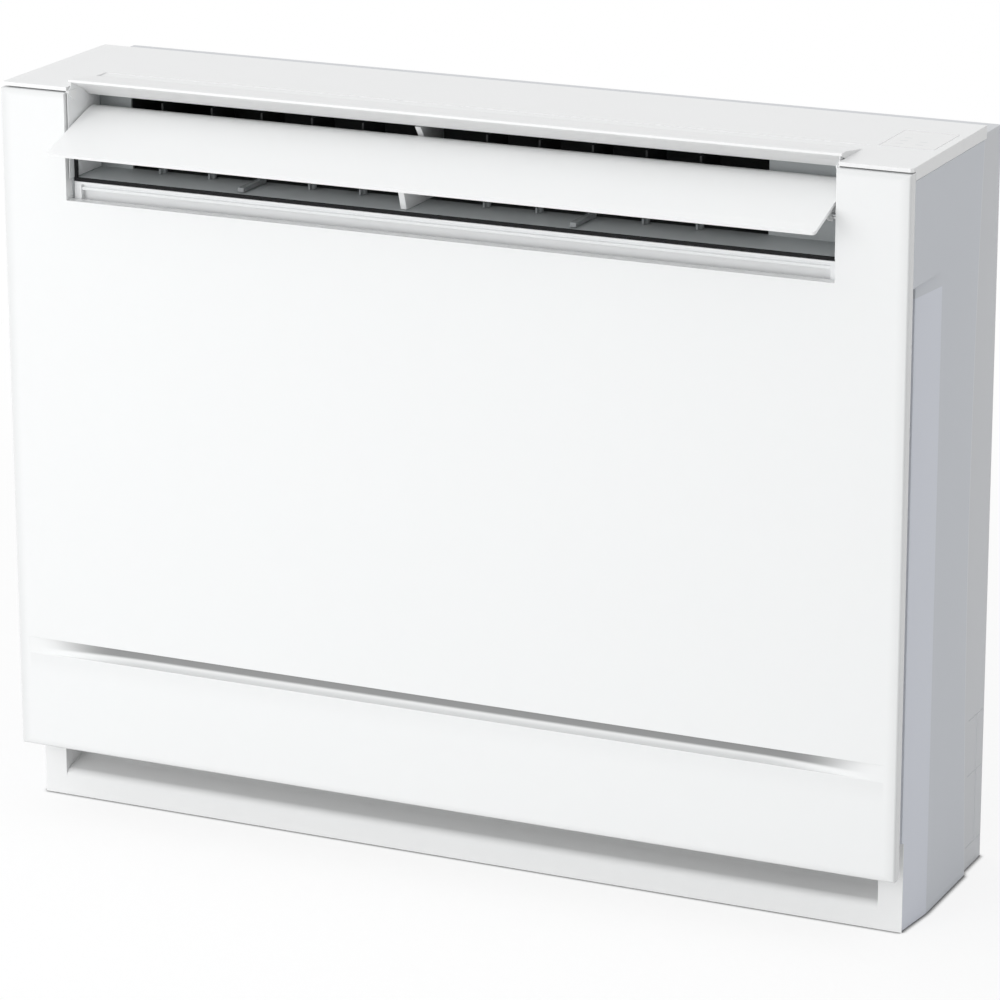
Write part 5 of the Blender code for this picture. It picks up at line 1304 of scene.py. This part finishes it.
@dataclass
class ControlAssembly:
    """The electrical box, its lid, its board, its terminals and the ion unit."""

    edge: float = 0.0004
    cells: tuple[int, int, int] = (5, 1, 15)
    part: Triple = (0.0125, 0.0088, 0.0130)
    lift: float = 0.0045
    parts_kept: float = 0.5
    part_uneven: float = 0.35
    part_seed: int = 11
    can: Triple = (0.0060, 0.0060, 0.0088)
    cans_kept: float = 0.3
    can_seed: int = 5
    screws: int = 6
    screw_head: Triple = (0.0070, 0.0070, 0.0012)
    screw_lift: float = 0.0004

    def build(self) -> None:
        """Builds the control pieces."""
        repaint(Finish.STEEL, "electrical_box", "electrical_box_lid")
        repaint(Finish.BOARD, "circuit_board")
        refined(Finish.BLACK, "casing", self.edge, "terminal_block", "ion_unit")
        low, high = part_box("circuit_board")
        across, deep, rows = self.cells
        pitch = ((high.x - low.x) / across, 0.0, (high.z - low.z) / rows)
        start = (low.x + pitch[0] / 2, low.y - self.lift, low.z + pitch[2] / 2)
        flat, upright = (math.pi / 2, 0.0, 0.0), (0.0, 0.0, 0.0)
        draw = (self.parts_kept, self.part_uneven, self.part_seed)
        parts = Repeat("board_parts", Shape.BOX, self.part, start, pitch, self.cells, upright, *draw)
        parts.build(Finish.BLACK, "casing")
        start = (start[0] + pitch[0] / 2, start[1], start[2] + pitch[2] / 2)
        cells, draw = (across - 1, deep, rows - 1), (self.cans_kept, 0.0, self.can_seed)
        cans = Repeat("board_cans", Shape.DRUM, self.can, start, pitch, cells, flat, *draw)
        cans.build(Finish.STEEL, "casing")
        low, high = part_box("terminal_block")
        pitch = ((high.x - low.x) / self.screws, 0.0, 0.0)
        start = (low.x + pitch[0] / 2, low.y - self.screw_lift, (low.z + high.z) / 2)
        cells = (self.screws, 1, 1)
        screws = Repeat("terminal_screws", Shape.DRUM, self.screw_head, start, pitch, cells, flat)
        screws.build(Finish.STEEL, "casing")


# Stage, light and camera


@dataclass(frozen=True)
class Lamp:
    """A square soft lamp, with the brightness that it gives a white face turned to it."""

    name: str
    place: Triple
    size: float
    level: float


@dataclass
class Studio:
    """The floor, the light and the camera."""

    lamps: tuple[Lamp, ...] = (Lamp("key_lamp", (-1.20, -2.60, 0.80), 1.6, 0.30),)
    ambient: float = 0.452
    ambient_tint: Colour = (0.988, 0.994, 1.0)
    ambient_slant: Triple = (-0.56, -0.62, 1.30)
    ambient_least: float = 0.05
    floor_radius: float = 30.0
    floor_tone: float = 0.76
    floor_share: float = 0.20
    floor_fade: Pair = (0.75, 1.70)
    contact_reach: float = 0.006
    contact_fade: Pair = (0.50, 0.97)
    painted_contact_shadow_tone: float = 0.02
    azimuth: float = 24.856
    elevation: float = 16.876
    roll: float = -0.14
    distance: float = 3.6159
    target: Triple = (0.0041, 0.0, 0.2749)
    focal_pixels: float = 4618.6
    picture: float = 1000.0

    def seen_directly(self, graph: Graph) -> Value:
        """1 for a ray of the camera, of a reflection or through glass, and 0 for the light's own.

        Args:
            graph: The tree that asks.

        Returns:
            The number.
        """
        path = graph.add("ShaderNodeLightPath").socket.node
        names = ("Is Camera Ray", "Is Glossy Ray", "Is Transmission Ray")
        camera, glossy, through = (Value(graph, path.outputs[name]) for name in names)
        return camera.at_least(glossy).at_least(through)

    def build_world(self) -> None:
        """Lights the object from all round, most from above and the front left, before plain white."""
        world = bpy.data.worlds.new("studio")
        bpy.context.scene.world = world
        world.use_nodes = True
        graph = Graph(world.node_tree)
        background = world.node_tree.nodes["Background"]
        direct = self.seen_directly(graph)
        x, y, z = graph.split(graph.add("ShaderNodeTexCoord", out="Generated"))
        slant = self.ambient_slant
        level = 1.0 + z.at_least(0.0) * slant[2] + x * slant[0] + y * slant[1]
        lit = level.at_least(self.ambient_least) * tuple(self.ambient * tone for tone in self.ambient_tint)
        graph.feed(background.inputs["Color"], graph.mix(direct, lit, (1.0, 1.0, 1.0)))

    def build_floor(self) -> None:
        """Lays the floor: pale, white to the camera, with the object's shadow on it and a painted contact
        shadow where the object stands.
        """
        mesh_data = bmesh.new()
        bmesh.ops.create_circle(mesh_data, cap_ends=True, segments=96, radius=self.floor_radius)
        floor = add_object("studio_floor", mesh_data)
        if floor.data.polygons[0].normal.z < 0:
            floor.data.flip_normals()
        material = bpy.data.materials.new("studio_floor")
        material.use_nodes = True
        graph = Graph(material.node_tree)
        out = material.node_tree.nodes["Material Output"]
        share = self.floor_share
        plain = graph.add("ShaderNodeBsdfDiffuse", sockets={"Color": (self.floor_tone,) * 3})
        shaded = graph.add("ShaderNodeBsdfDiffuse", sockets={"Color": (share,) * 3})
        reach = graph.add("ShaderNodeVectorMath", {"operation": "LENGTH"}, {0: graph.place()}, out="Value")
        far = graph.step(reach, self.floor_fade)
        # Painted contact shadow: ambient occlusion near the object darkens the white glow.
        sockets = {"Distance": self.contact_reach}
        contact = graph.add("ShaderNodeAmbientOcclusion", {"samples": 16}, sockets, out="AO")
        clear = graph.step(contact, self.contact_fade)
        glow = graph.mix(clear, (self.painted_contact_shadow_tone,) * 3, (1.0 - share,) * 3)
        lifted = graph.add("ShaderNodeEmission", sockets={"Color": glow})
        white = graph.add("ShaderNodeEmission", sockets={"Color": (1.0, 1.0, 1.0)})
        near = graph.add("ShaderNodeAddShader", sockets={0: shaded, 1: lifted})
        seen = graph.add("ShaderNodeMixShader", sockets={0: far, 1: near, 2: white})
        both = graph.add("ShaderNodeMixShader", sockets={0: self.seen_directly(graph), 1: plain, 2: seen})
        graph.feed(out.inputs["Surface"], both)
        floor.data.materials.append(material)

    def build_lamp(self, lamp: Lamp) -> None:
        """Hangs a square lamp that faces the object.

        Args:
            lamp: The lamp's settings.
        """
        data = bpy.data.lights.new(lamp.name, "AREA")
        data.shape = "SQUARE"
        data.size = lamp.size
        aim = Vector(self.target) - Vector(lamp.place)
        data.energy = lamp.level * math.pi**2 * aim.length_squared
        obj = bpy.data.objects.new(lamp.name, data)
        bpy.context.scene.collection.objects.link(obj)
        obj.location = lamp.place
        obj.rotation_euler = aim.to_track_quat("-Z", "Y").to_euler()
        obj.visible_glossy = False

    def build_camera(self) -> None:
        """Sets the camera at the photograph's angle."""
        data = bpy.data.cameras.new("camera")
        data.sensor_width = 36.0
        data.lens = self.focal_pixels / self.picture * data.sensor_width
        data.clip_end = 200.0
        camera = bpy.data.objects.new("camera", data)
        bpy.context.scene.collection.objects.link(camera)
        a, e = math.radians(self.azimuth), math.radians(self.elevation)
        back = Vector((math.sin(a) * math.cos(e), -math.cos(a) * math.cos(e), math.sin(e)))
        turn = back.to_track_quat("Z", "Y").to_matrix() @ Matrix.Rotation(math.radians(self.roll), 3, "Z")
        camera.rotation_euler = turn.to_euler()
        camera.location = Vector(self.target) + back * self.distance
        bpy.context.scene.camera = camera

    def build(self) -> None:
        """Builds the studio."""
        self.build_world()
        self.build_floor()
        for lamp in self.lamps:
            self.build_lamp(lamp)
        self.build_camera()
        bpy.context.scene.view_settings.view_transform = "Standard"


def main() -> None:
    """Builds the studio and every sub-assembly."""
    logging.basicConfig(level=logging.INFO, format="%(name)s: %(message)s")
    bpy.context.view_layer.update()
    Studio().build()
    front = (PanelAssembly, CasingAssembly, OutletAssembly)
    inside = (FanAssembly, CoilAssembly, InletAssembly, ControlAssembly)
    for assembly in (*front, *inside):
        assembly().build()


if __name__ == "__main__":
    main()
